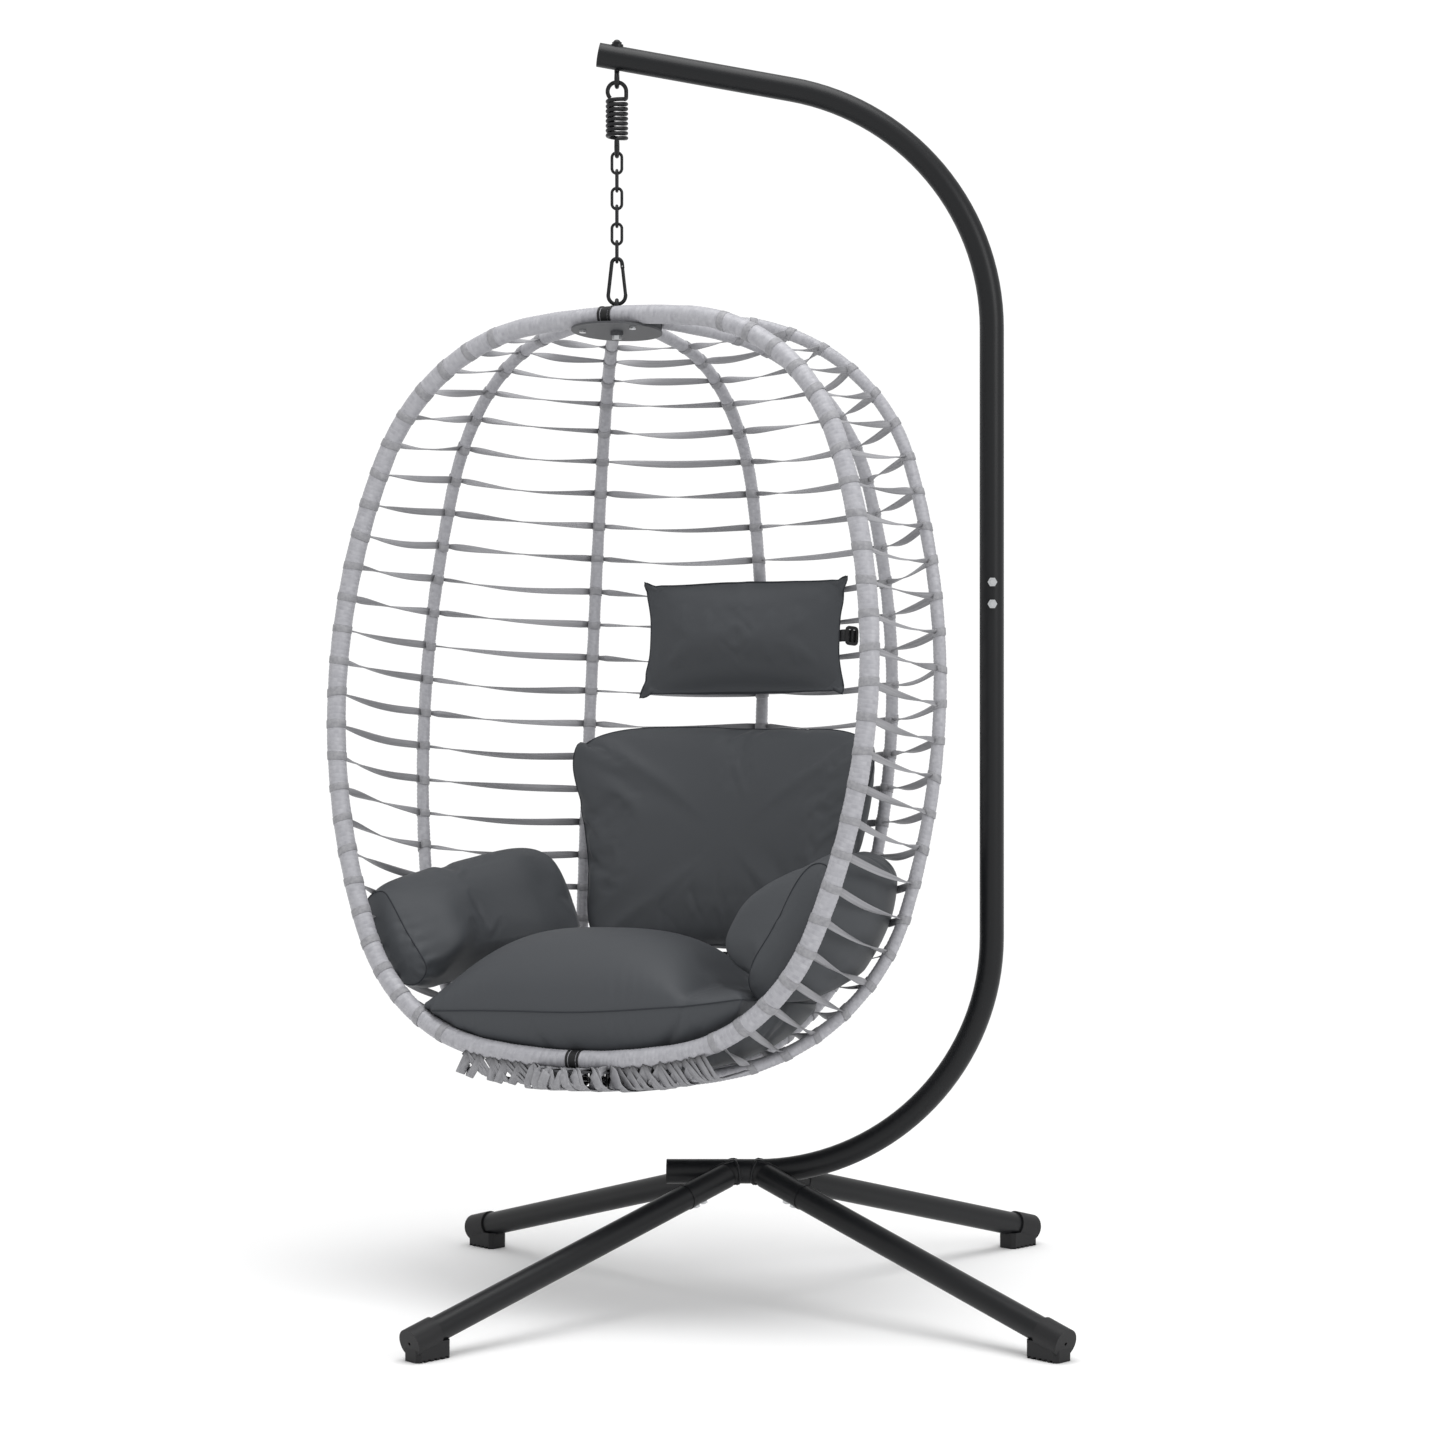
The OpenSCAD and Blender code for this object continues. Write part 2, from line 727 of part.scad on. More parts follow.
module swept_tube(path, r, sides) {
  count = len(path);
  points = [for (i = [0 : count - 1]) each ring_points(path, i, r, sides)];
  skin = [
    for (i = [0 : count - 2])
      for (k = [0 : sides - 1])
        let (
          a = i * sides + k,
          b = i * sides + (k + 1) % sides
        )
        each [[a, b + sides, b], [a, a + sides, b + sides]]
  ];
  first_cap = [for (k = [1 : sides - 2]) [0, k, k + 1]];
  last = (count - 1) * sides;
  last_cap = [for (k = [1 : sides - 2]) [last, last + k + 1, last + k]];
  polyhedron(points, concat(skin, first_cap, last_cap));
}

module spring_coil() {
  color(black) on_hanger(0) swept_tube(coil_path, spring_wire / 2, coil_sides);
}

module chain_link(k) {
  end_r = (link_w - link_wire) / 2;
  half = link_reach / 2 - end_r;
  color(black) on_hanger(link_1_top - (k - 1) * link_drop - link_reach / 2)
    rotate([0, 0, k % 2 == 1 ? 0 : 90]) {
      translate([0, 0, half]) wire_arc(end_r, link_wire, 180);
      translate([0, 0, -half]) rotate([180, 0, 0]) wire_arc(end_r, link_wire, 180);
      for (side = [-1, 1])
        translate([side * end_r, 0, -half]) cylinder(d = link_wire, h = 2 * half, $fn = 32);
    }
}

// The snap hook's right side lies along +Z of this frame, from the wide end's tangent point
module on_hook_side(side) {
  on_hanger(hook_lower_z + hook_wide_r)
    rotate([0, -side * hook_flare, 0])
      translate([side * hook_wide_r, 0, 0])
        children();
}

module snap_hook() {
  cheek_w = 6;
  color(black) {
    on_hanger(hook_lower_z + hook_wide_r)
      rotate([0, -hook_flare, 0])
        rotate([180, 0, 0])
          wire_arc(hook_wide_r, hook_wire, 180 + 2 * hook_flare);
    on_hanger(hook_upper_z - hook_narrow_r)
      rotate([0, -hook_flare, 0])
        wire_arc(hook_narrow_r, hook_wire, 180 - 2 * hook_flare);
    on_hook_side(-1)
      translate([0, 0, -splice])
        cylinder(d = hook_wire - 2 * eps, h = hook_side + 2 * splice, $fn = 32);
    on_hook_side(1)
      difference() {
        for (side = [-1, 1])
          translate([-cheek_w / 2, side * (cheek_in + cheek_t / 2) - cheek_t / 2, 0])
            translate([0, 0, hook_side - gate_pin_from_top - cheek_w / 2])
              cube([cheek_w, cheek_t, gate_pin_from_top + cheek_w / 2 + 1]);
        gate_pin_hole(gate_pin_d + 2 * core_play);
      }
  }
}

module gate_pin_hole(diameter) {
  translate([0, hook_wire, hook_side - gate_pin_from_top])
    rotate([90, 0, 0])
      cylinder(d = diameter, h = 2 * hook_wire, $fn = 32);
}

module snap_hook_gate() {
  knuckle = 9;
  length = hook_side - 1 - 2 * gate_gap;
  color(black) on_hook_side(1) difference() {
    translate([0, 0, gate_gap]) {
      cylinder(d = hook_wire - 0.6, h = length - knuckle, $fn = 32);
      intersection() {
        cylinder(d = hook_wire - 0.6, h = length - 2 * gate_gap, $fn = 32);
        translate([-hook_wire, -gate_flat / 2, 0]) cube([2 * hook_wire, gate_flat, length]);
      }
    }
    gate_pin_hole(gate_pin_d + 2 * eps);
  }
}

module gate_pin() {
  length = 2 * (cheek_in + cheek_t) + 0.4;
  color(steel) on_hook_side(1)
    translate([0, length / 2, hook_side - gate_pin_from_top])
      rotate([90, 0, 0])
        cylinder(d = gate_pin_d, h = length, $fn = 32);
}

module hub_eye() {
  color(black) on_hanger(0) {
    difference() {
      union() {
        translate([0, 0, hub_eye_z])
          rotate([0, 90, 0])
            rotate_extrude() translate([hub_eye_r, 0]) circle(d = hub_eye_wire, $fn = 32);
        translate([0, 0, flange_top_z - flange_t]) cylinder(d = flange_d, h = flange_t);
      }
      translate([0, 0, flange_top_z - flange_t - flange_d]) cylinder(d = flange_d, h = flange_d);
    }
    translate([0, 0, hub_z - sleeve_foot - nut_play - nut_h])
      cylinder(d = shank_d, h = flange_top_z - hub_z + sleeve_foot + nut_play + nut_h - 1);
  }
}

module hub_nut() {
  color(steel) on_hanger(hub_z - sleeve_foot - nut_play - nut_h) difference() {
    hexagon(pole_bolt_af, nut_h);
    translate([0, 0, -1]) cylinder(d = shank_d + 2 * eps, h = nut_h + 2);
  }
}

// --- Basket frame ---------------------------------------------------------------------------
module hub_lugs(z, height) {
  inner = rib_core / 2 + lug_gap;
  lug_len = 24;
  for (turn = rib_turns)
    in_rib(turn)
      for (side = [-1, 1])
        translate([rib_root_r, side > 0 ? inner : -inner - lug_t, z])
          cube([lug_len, lug_t, height]);
}

module hub_bolt_holes(z) {
  for (side = [-1, 1])
    translate([side * hoop_bolt_u, -hoop_forward, z])
      cylinder(d = small_bolt_d + 2 * hole_play, h = 3 * hub_t);
}

module pivot_holes(z) {
  for (turn = rib_turns)
    in_rib(turn)
      translate([pivot_r, rib_core + lug_t, z])
        rotate([90, 0, 0])
          cylinder(d = small_bolt_d + 2 * hole_play, h = 2 * (rib_core + lug_t));
}

module top_hub() {
  color(dark) difference() {
    union() {
      in_basket() difference() {
        union() {
          translate([0, 0, -hub_t]) cylinder(r = hub_r, h = hub_t);
          hub_lugs(-eps, rib_root_z + rib_core / 2);
        }
        hub_bolt_holes(-2 * hub_t);
        pivot_holes(rib_root_z);
      }
      on_hanger(hub_z - sleeve_foot) cylinder(d = sleeve_od, h = sleeve_top_z - hub_z + sleeve_foot);
    }
    on_hanger(hub_z - 2 * sleeve_foot)
      cylinder(d = shank_d + 2 * swivel_play, h = sleeve_top_z - hub_z + 3 * sleeve_foot);
  }
}

module bottom_hub() {
  depth = bottom_plate_z - rib_bottom_z + rib_core / 2;
  color(dark) in_basket() difference() {
    union() {
      translate([0, 0, bottom_plate_z - hub_t]) cylinder(r = hub_r, h = hub_t);
      hub_lugs(bottom_plate_z - depth, depth - hub_t + eps);
    }
    hub_bolt_holes(bottom_plate_z - 2 * hub_t);
    pivot_holes(rib_bottom_z);
  }
}

module hub_pivots() {
  reach = rib_core / 2 + lug_gap + lug_t + 3;
  color(steel) in_basket() for (z = [rib_root_z, rib_bottom_z], turn = rib_turns)
    in_rib(turn)
      translate([pivot_r, 0, z])
        rotate([90, 0, 0]) {
          translate([0, 0, -reach]) cylinder(d = small_bolt_d, h = 2 * reach);
          translate([0, 0, reach - 3 + eps])
            hexagon(small_bolt_af, bolt_head * small_bolt_d);
        }
}

module hoop_bolts() {
  head = bolt_head * small_bolt_d;
  color(steel) in_basket() for (side = [-1, 1]) {
    translate([side * hoop_bolt_u, -hoop_forward, -hub_t - head]) {
      hexagon(small_bolt_af, head);
      cylinder(d = small_bolt_d, h = head + hub_t + hoop_od / 2);
    }
    translate([side * hoop_bolt_u, -hoop_forward, bottom_plate_z - hub_t - head]) {
      hexagon(small_bolt_af, head);
      cylinder(d = small_bolt_d, h = head + hub_t + hoop_od / 2);
    }
  }
}

module in_hoop() {
  in_basket() translate([0, -hoop_forward, 0]) children();
}

module hoop_bolt_clearance() {
  bolt_hole = small_bolt_d + 2 * hole_play;
  for (side = [-1, 1]) {
    translate([side * hoop_bolt_u, 0, -1]) cylinder(d = bolt_hole, h = hoop_od / 2 + 4);
    translate([side * hoop_bolt_u, 0, hoop_bottom_z - hoop_od]) cylinder(d = bolt_hole, h = hoop_od + 4);
  }
}

module hoop_half(side) {
  color(dark) in_hoop() difference() {
    mirror([side < 0 ? 1 : 0, 0, 0])
      bent_tube(hoop_radii, hoop_angles, hoop_start, hoop_core, hoop_core - 2 * hoop_wall);
    translate([-wire_play / 2, -hoop_od, hoop_bottom_z - hoop_od])
      cube([wire_play, 2 * hoop_od, 3 * hoop_od - hoop_bottom_z]);
    hoop_bolt_clearance();
  }
}

module hoop_wraps() {
  gap = joint_len + 2 * core_play;
  color(rattan) in_hoop() for (side = [0, 1])
    difference() {
      mirror([side, 0, 0])
        bent_tube(hoop_radii, hoop_angles, hoop_start, hoop_od, hoop_core + 2 * core_play);
      translate([-gap / 2, -hoop_od, hoop_bottom_z - hoop_od])
        cube([gap, 2 * hoop_od, 3 * hoop_od - hoop_bottom_z]);
      hoop_bolt_clearance();
    }
}

module hoop_joints() {
  color(black) in_hoop() for (z = [hoop_start.y, hoop_bottom_z])
    translate([-joint_len / 2, 0, z])
      rotate([0, 90, 0])
        pipe(joint_len, hoop_od, hoop_core + 2 * core_play);
}

module rib(k) {
  color(dark) in_basket() difference() {
    in_rib(rib_turns[k - 1])
      bent_tube(rib_radii, rib_angles, rib_start, rib_core, rib_core - 2 * rib_wall);
    pivot_holes(rib_root_z);
    pivot_holes(rib_bottom_z);
  }
}

module rib_wraps() {
  clear_r = hub_r + 2;
  color(rattan) in_basket() difference() {
    for (turn = rib_turns)
      in_rib(turn)
        bent_tube(rib_radii, rib_angles, rib_start, rib_od, rib_core + 2 * core_play);
    translate([0, 0, rib_bottom_z - 2 * rib_od])
      cylinder(r = clear_r, h = 4 * rib_od - rib_bottom_z);
  }
}

// --- Weave ----------------------------------------------------------------------------------
// The basket's uprights from left to right: the hoop's left side, five ribs, its right side
function upright_point(k, s) =
  let (
    on_rib = rib_point(s),
    on_hoop = hoop_point(hoop_length / 2 + (s - rib_length / 2) * hoop_crowding)
  )
  k == 0 ? [-on_hoop.x, -hoop_forward, on_hoop.y]
  : k == len(rib_turns) + 1 ? [on_hoop.x, -hoop_forward, on_hoop.y]
  : [-on_rib.x * cos(rib_turns[k - 1]), on_rib.x * sin(rib_turns[k - 1]), on_rib.y];
function upright_r(k) = (k == 0 || k == len(rib_turns) + 1 ? hoop_od : rib_od) / 2;
function upright_slope(k, s) =
  let (
    on_hoop = hoop_length / 2 + (s - rib_length / 2) * hoop_crowding,
    hoop_turn = path_turn(hoop_radii, hoop_angles, hoop_start, on_hoop)[1]
  )
  k == 0 ? [-cos(hoop_turn), 0, -sin(hoop_turn)]
  : k == len(rib_turns) + 1 ? [cos(hoop_turn), 0, -sin(hoop_turn)]
  : [-cos(rib_turns[k - 1]) * cos(rib_turn(s)), sin(rib_turns[k - 1]) * cos(rib_turn(s)), -sin(rib_turn(s))];
// How far from an upright's axis a strip ends, so that its corners clear the windings
function strip_setback(k, s, toward) =
  let (lean = asin(abs(toward * upright_slope(k, s))))
  upright_r(k) / cos(lean) + strip_w / 2 * tan(lean) + strip_inset;

module strip(start, length, direction, s) {
  translate(start)
    rotate([0, 0, atan2(direction.y, direction.x)])
      rotate([0, -asin(direction.z), 0])
        rotate([rib_turn(s) - 90, 0, 0])
          translate([0, -strip_t / 2, -strip_w / 2])
            cube([length, strip_t, strip_w]);
}

module weave_bay(k) {
  color(rattan) in_basket() for (n = [0 : strip_count - 1]) {
    s = strip_start + n * strip_pitch;
    left = upright_point(k - 1, s);
    right = upright_point(k, s);
    toward = unit(right - left);
    setback = strip_setback(k - 1, s, toward);
    length = norm(right - left) - setback - strip_setback(k, s, toward);
    strip(left + toward * setback, length, toward, s);
  }
}

// --- Cushions -------------------------------------------------------------------------------
// Two square nets of points that share their rim make one closed cushion. The skin
// function takes the place across and along the cushion, both from -1 to 1, and the side.
cushion_steps = 16;
function cushion_rim(n) = n == 0 || n == cushion_steps;
function crown(a, b) = pow(1 - pow(abs(a), 2.6), 0.6) * pow(1 - pow(abs(b), 2.6), 0.6);
// How far a side is drawn in, at its middle, as a share of the half width
function drawn(a, pull) = 1 - pull * (1 - a * a);
function net_index(i, j, side) =
  side == 0 || cushion_rim(i) || cushion_rim(j)
  ? i * (cushion_steps + 1) + j
  : (cushion_steps + 1) * (cushion_steps + 1) + (i - 1) * (cushion_steps - 1) + j - 1;

module cushion(skin_at) {
  n = cushion_steps;
  front = [for (i = [0 : n]) for (j = [0 : n]) skin_at(2 * i / n - 1, 2 * j / n - 1, 1)];
  rear = [for (i = [1 : n - 1]) for (j = [1 : n - 1]) skin_at(2 * i / n - 1, 2 * j / n - 1, -1)];
  faces = [
    for (side = [0, 1])
      for (i = [0 : n - 1])
        for (j = [0 : n - 1])
          let (
            a = net_index(i, j, side),
            b = net_index(i + 1, j, side),
            c = net_index(i + 1, j + 1, side),
            d = net_index(i, j + 1, side)
          )
          each (i < n / 2) == (j < n / 2)
            ? (side == 0 ? [[a, b, c], [a, c, d]] : [[a, c, b], [a, d, c]])
            : (side == 0 ? [[a, b, d], [b, c, d]] : [[a, d, b], [b, d, c]])
  ];
  polyhedron(concat(front, rear), faces);
}

// The bowl's inner face under the seat, at a distance from the hub's axis
hip_arc = len(rib_radii) - 1;
function bowl_arc_z(k, r) =
  let (
    c = arc_centre(rib_radii, rib_angles, rib_start, k),
    big = arc_radius(rib_radii, rib_angles, rib_start, k)
  )
  c.y - sqrt(max(0, big * big - (r - c.x) * (r - c.x)));
function bowl_z(r) = r < arc_start(rib_radii, rib_angles, rib_start, hip_arc + 1).x
  ? bowl_arc_z(hip_arc + 1, r)
  : bowl_arc_z(hip_arc, r);

soft_play = 0.3;
bay_half = 16.5;
seat_front = -hoop_forward;
seat_seam_z = hoop_bottom_z + seat_seam_rise;
seat_curl = 34;
seat_below = 102;
function seat_skin(a, b, side) =
  let (
    half = seat_half_w * drawn(b, 0.03),
    u = half * a * (b > 0 ? 1 - 0.16 * b * b : 1),
    mid = seat_front + seat_depth / 2,
    w = mid + seat_depth / 2 * b * drawn(a, 0.03),
    seam = seat_seam_z + seat_curl * a * a,
    lift = side > 0 ? seat_crown - seat_curl * 0.4 : -seat_below,
    floor_z = bowl_z(norm([u, w]) / cos(bay_half)) + rib_od / 2 + soft_play,
    z = seam + lift * crown(a, b)
  )
  [u, w, side > 0 ? z : max(z, min(seam, floor_z))];

arm_turn = 25;
arm_s = 0.7295 * rib_length;
arm_depth = 23;
arm_rise = 60;
arm_tuck = 22;
function arm_skin(a, b, side) =
  let (
    radius = rib_point(arm_s).x - arm_depth - arm_t / 2,
    turn = arm_turn + a * arm_len / 2 * drawn(b, 0.04) / radius * 180 / PI,
    s = arm_s + b * arm_h / 2 * drawn(a, 0.05) - a * arm_rise / 2,
    bulge = arm_t / 2 * crown(a, b),
    depth = arm_depth + arm_tuck * (1 - a) / 2 + arm_t / 2 + side * bulge
  )
  wall_point(turn, s, depth);

back_turn = 88;
back_s = 0.622 * rib_length;
back_depth = 20.6;
back_waist = 0.14;
function back_skin(a, b, side) =
  let (
    radius = rib_point(back_s).x - back_depth - back_t / 2,
    half = back_w / 2 * drawn(b, 0.03) * (1 - back_waist * (b + 1) / 2),
    turn = back_turn + a * half / radius * 180 / PI,
    s = back_s + b * back_h / 2 * drawn(a, 0.03),
    bulge = back_t / 2 * crown(a, b),
    depth = back_depth + back_t / 2 + side * bulge
  )
  wall_point(turn, s, depth);

pillow_u = 8;
pillow_course = 11;
pillow_s = strip_start + (pillow_course - 0.5) * strip_pitch;
pillow_z = rib_point(pillow_s).y;
pillow_back_w = rib_point(pillow_s).x - rib_od / 2 - soft_play;
pillow_clear = 19.5;
pillow_curl = 10;
pillow_mid_w = pillow_back_w - pillow_clear - pillow_t / 2;
function pillow_skin(a, b, side) = [
  pillow_u + a * pillow_w / 2 * drawn(b, 0.06),
  pillow_mid_w - pillow_curl * a * a - side * pillow_t / 2 * crown(a, b),
  pillow_z + b * pillow_h / 2 * drawn(a, 0.12)
];

module seat_cushion() {
  color(cloth) in_basket() cushion(function(a, b, side) seat_skin(a, b, side));
}

module left_arm_cushion() {
  color(cloth) in_basket() cushion(function(a, b, side) arm_skin(a, b, side));
}

module right_arm_cushion() {
  color(cloth) in_basket() mirror([1, 0, 0])
    cushion(function(a, b, side) arm_skin(a, b, side));
}

module back_cushion() {
  color(cloth) in_basket() cushion(function(a, b, side) back_skin(a, b, side));
}

module head_pillow() {
  color(cloth) in_basket() cushion(function(a, b, side) pillow_skin(a, b, side));
}

strap_ease = 1.2;
strap_slope = 0.29;
strap_flare = 12;
strap_around = rib_od / 2 + soft_play + strap_ease;
strap_rib_w = rib_point(pillow_s).x;
function strap_seam_u(side) = pillow_u + side * pillow_w / 2 * drawn(0, 0.06);
function strap_bend(side) =
  let (u = strap_seam_u(side) + side * strap_flare)
  [u, strap_rib_w - strap_slope * (abs(u) - strap_around)];
function strap_tip(side) = [
  strap_seam_u(side) + side * strap_t / 2,
  pillow_mid_w - pillow_curl + strap_t / 2
];

strap_steps = 12;
strap_path = concat(
  [strap_tip(-1), strap_bend(-1)],
  [
    for (i = [0 : strap_steps])
      let (a = 180 - 180 * i / strap_steps)
      [0, strap_rib_w] + (strap_around + strap_t / 2) * [cos(a), sin(a)]
  ],
  [strap_bend(1), strap_tip(1)]
);
function beside(path, away) = [
  for (i = [0 : len(path) - 1])
    let (
      run = path[min(i + 1, len(path) - 1)] - path[max(i - 1, 0)],
      across = [-run.y, run.x] / norm(run)
    )
    path[i] + away * across
];
function backwards(path) = [for (i = [len(path) - 1 : -1 : 0]) path[i]];

module pillow_strap() {
  outline = concat(beside(strap_path, strap_t / 2), backwards(beside(strap_path, -strap_t / 2)));
  color(black) in_basket() translate([0, 0, pillow_z - strap_w / 2])
    linear_extrude(strap_w) polygon(outline);
}

module strap_buckle() {
  run = strap_tip(1) - strap_bend(1);
  size = [norm(run), 8, 32];
  color(black) in_basket() translate([0, 0, pillow_z])
    translate(strap_bend(1)) rotate([0, 0, atan2(run.y, run.x)])
      translate([0, strap_t / 2 + 0.2, -size.z / 2]) cube(size);
}

lower_pole();
upper_pole();
leg_sockets();
leg(leg_signs[0]);  // leg_front_left
leg(leg_signs[1]);  // leg_front_right
leg(leg_signs[2]);  // leg_back_left
leg(leg_signs[3]);  // leg_back_right
foot_caps();
tube_plugs();
pole_bolts();
pole_nuts();
leg_bolts();
eye_bolt();
eye_washer();
dome_nut();
spring_upper_hook();
spring_coil();
spring_lower_hook();
chain_link(1);  // chain_link_1
chain_link(2);  // chain_link_2
chain_link(3);  // chain_link_3
chain_link(4);  // chain_link_4
chain_link(5);  // chain_link_5
chain_link(6);  // chain_link_6
snap_hook();
snap_hook_gate();
gate_pin();
hub_eye();
hub_nut();
top_hub();
bottom_hub();
hub_pivots();
hoop_bolts();
hoop_half(-1);  // hoop_left
hoop_half(1);  // hoop_right
hoop_wraps();
hoop_joints();
rib(1);  // rib_1
rib(2);  // rib_2
rib(3);  // rib_3
rib(4);  // rib_4
rib(5);  // rib_5
rib_wraps();
weave_bay(1);  // weave_bay_1
weave_bay(2);  // weave_bay_2
weave_bay(3);  // weave_bay_3
weave_bay(4);  // weave_bay_4
weave_bay(5);  // weave_bay_5
weave_bay(6);  // weave_bay_6
seat_cushion();
left_arm_cushion();
right_arm_cushion();
back_cushion();
head_pillow();
pillow_strap();
strap_buckle();
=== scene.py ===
import json
import math
import random

import bmesh
import bpy
import numpy as np
from mathutils import Matrix, Vector
from mathutils.kdtree import KDTree


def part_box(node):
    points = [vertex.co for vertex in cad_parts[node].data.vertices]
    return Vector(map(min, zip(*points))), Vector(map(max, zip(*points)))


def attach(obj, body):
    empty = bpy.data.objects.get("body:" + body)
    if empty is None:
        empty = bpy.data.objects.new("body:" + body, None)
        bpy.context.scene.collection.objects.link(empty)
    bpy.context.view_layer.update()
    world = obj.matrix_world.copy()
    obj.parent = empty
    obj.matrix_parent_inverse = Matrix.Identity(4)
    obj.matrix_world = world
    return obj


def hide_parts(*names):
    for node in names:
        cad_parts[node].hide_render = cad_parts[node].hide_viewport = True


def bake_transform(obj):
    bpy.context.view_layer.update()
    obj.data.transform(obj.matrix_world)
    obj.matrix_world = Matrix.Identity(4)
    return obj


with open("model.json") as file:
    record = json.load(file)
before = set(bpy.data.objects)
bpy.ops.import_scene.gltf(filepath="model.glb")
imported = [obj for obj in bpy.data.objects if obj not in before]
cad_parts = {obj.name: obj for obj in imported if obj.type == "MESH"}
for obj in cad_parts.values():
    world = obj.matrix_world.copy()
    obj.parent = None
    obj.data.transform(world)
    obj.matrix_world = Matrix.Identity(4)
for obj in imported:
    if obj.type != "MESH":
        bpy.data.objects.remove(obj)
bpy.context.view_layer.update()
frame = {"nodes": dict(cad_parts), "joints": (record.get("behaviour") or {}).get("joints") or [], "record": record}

MM = 0.001
UP = np.array([0, 0, 1.0])

# ---------------------------------------------------------------- sizes, in millimetres
BASKET_TURN, BASKET_LEAN, BASKET_ROLL = 27.2, 7.5, -1.7
HUB_R = 71
HOOP_OD, RIB_OD = 30, 20
HOOP_FORWARD = 28
HOOP_START = (0, 17)
HOOP_RADII, HOOP_ANGLES = (1330, 322, 979, 292), (6, 62.5, 45, 56.9)
RIB_START = (45, 22.5)
RIB_RADII, RIB_ANGLES = (1814, 305, 1236, 349), (4.8, 67.6, 32.6, 61.4)
RIB_TURNS = (25, 57, 90, 123, 155)
STRIP_FIRST, STRIP_PITCH, STRIP_COUNT = 170, 55.6, 26
HOOP_CROWDING = 0.915
STRIP_W, STRIP_T, STRIP_FLAT = 12.0, 1.4, 0.86
WRAP_PITCH, WRAP_GROOVE = 6.4, 0.55
TUBE_OD = 38
STAND_X = 90
BASE_Z = 197
LEG_ROOT_X, LEG_SPREAD, LEG_END_Z = 17, 452, 26

rng = random.Random(20)


# ---------------------------------------------------------------- places
def joint_place(name):
    return Vector(next(j for j in frame["joints"] if j["name"] == name)["pos_m"])


def turn_matrix(degrees, axis):
    return Matrix.Rotation(math.radians(degrees), 4, axis)


BASKET = (
    Matrix.Translation(joint_place("basket_spin"))
    @ turn_matrix(-BASKET_TURN, "Z")
    @ turn_matrix(-BASKET_LEAN, "X")
    @ turn_matrix(BASKET_ROLL, "Y")
)


def to_row(points):
    """Basket points, in millimetres, as places in the row frame, in metres."""
    m = np.array(BASKET)
    return np.asarray(points, float) * MM @ m[:3, :3].T + m[:3, 3]


class Path:
    """Tangent arcs in a plane, from level and outwards round to level and inwards."""

    def __init__(self, start, radii, angles):
        self.arcs = []
        place, turned, total = np.array(start, float), 0.0, 0.0
        for k, angle in enumerate(list(angles) + [180 - sum(angles)]):
            if k < len(radii):
                radius = radii[k]
            else:
                radius = (place[0] - start[0]) / math.sin(math.radians(turned))
            centre = place - radius * self.heading(turned)
            length = radius * math.radians(angle)
            self.arcs.append((total, length, radius, centre, turned))
            turned += angle
            place = centre + radius * self.heading(turned)
            total += length
        self.length = total

    @staticmethod
    def heading(turned):
        return np.array([math.sin(math.radians(turned)), math.cos(math.radians(turned))])

    def at(self, s):
        """(distance from the axis, height) and the turn so far, in degrees, at length s."""
        arc = self.arcs[-1]
        for candidate in self.arcs:
            if s <= candidate[0] + candidate[1]:
                arc = candidate
                break
        first, _, radius, centre, turned = arc
        now = turned + math.degrees((s - first) / radius)
        return centre + radius * self.heading(now), now


HOOP = Path(HOOP_START, HOOP_RADII, HOOP_ANGLES)
RIB = Path(RIB_START, RIB_RADII, RIB_ANGLES)


def frame_in_plane(out, place, r, shift):
    """Centre, outward normal, downward tangent and sideways direction of an upright."""
    centre = out * place[0] + UP * place[1] + shift
    normal = out * math.sin(r) + UP * math.cos(r)
    tangent = out * math.cos(r) - UP * math.sin(r)
    return centre, normal, tangent, np.cross(tangent, normal)


def rib_frame(turn, s):
    place, now = RIB.at(s)
    t, r = math.radians(turn), math.radians(now)
    out = np.array([-math.cos(t), math.sin(t), 0.0])
    return frame_in_plane(out, place, r, np.zeros(3))


def hoop_frame(side, s):
    place, now = HOOP.at(s)
    r = math.radians(now)
    out = np.array([side * 1.0, 0, 0])
    return frame_in_plane(out, place, r, np.array([0, -HOOP_FORWARD, 0]))


def on_hoop(s):
    """The place along the hoop that a strip reaches from distance s down a rib."""
    return HOOP.length / 2 + (s - RIB.length / 2) * HOOP_CROWDING


def upright_frame(k, s):
    """The k-th upright from the left and its radius, level with distance s down a rib."""
    if 1 <= k <= len(RIB_TURNS):
        return rib_frame(RIB_TURNS[k - 1], s), RIB_OD / 2
    return hoop_frame(-1 if k == 0 else 1, on_hoop(s)), HOOP_OD / 2


# ---------------------------------------------------------------- materials
GRAIN_DETAIL, MOTTLE_DETAIL = 2.0, 3
MOTTLE_RAMP = (0.3, 0.72)
# Painted shade: the near-black mixed into strips where their ends pass behind the ribs and the hoop.
TUCK_SHADE_COLOUR = (0.012, 0.012, 0.014)


def new_material(name, color, roughness, metallic=0.0, specular=0.5):
    material = bpy.data.materials.new(name)
    material.use_nodes = True
    shader = material.node_tree.nodes["Principled BSDF"]
    shader.inputs["Base Color"].default_value = (*color, 1)
    shader.inputs["Roughness"].default_value = roughness
    shader.inputs["Metallic"].default_value = metallic
    shader.inputs["Specular IOR Level"].default_value = specular
    return material


def add_grain(material, scale, strength, distance):
    """Fine procedural relief."""
    nodes, links = material.node_tree.nodes, material.node_tree.links
    where = nodes.new("ShaderNodeTexCoord")
    noise = nodes.new("ShaderNodeTexNoise")
    noise.inputs["Scale"].default_value = scale
    noise.inputs["Detail"].default_value = GRAIN_DETAIL
    links.new(where.outputs["Object"], noise.inputs["Vector"])
    bump = nodes.new("ShaderNodeBump")
    bump.inputs["Strength"].default_value = strength
    bump.inputs["Distance"].default_value = distance
    links.new(noise.outputs["Fac"], bump.inputs["Height"])
    links.new(bump.outputs["Normal"], nodes["Principled BSDF"].inputs["Normal"])


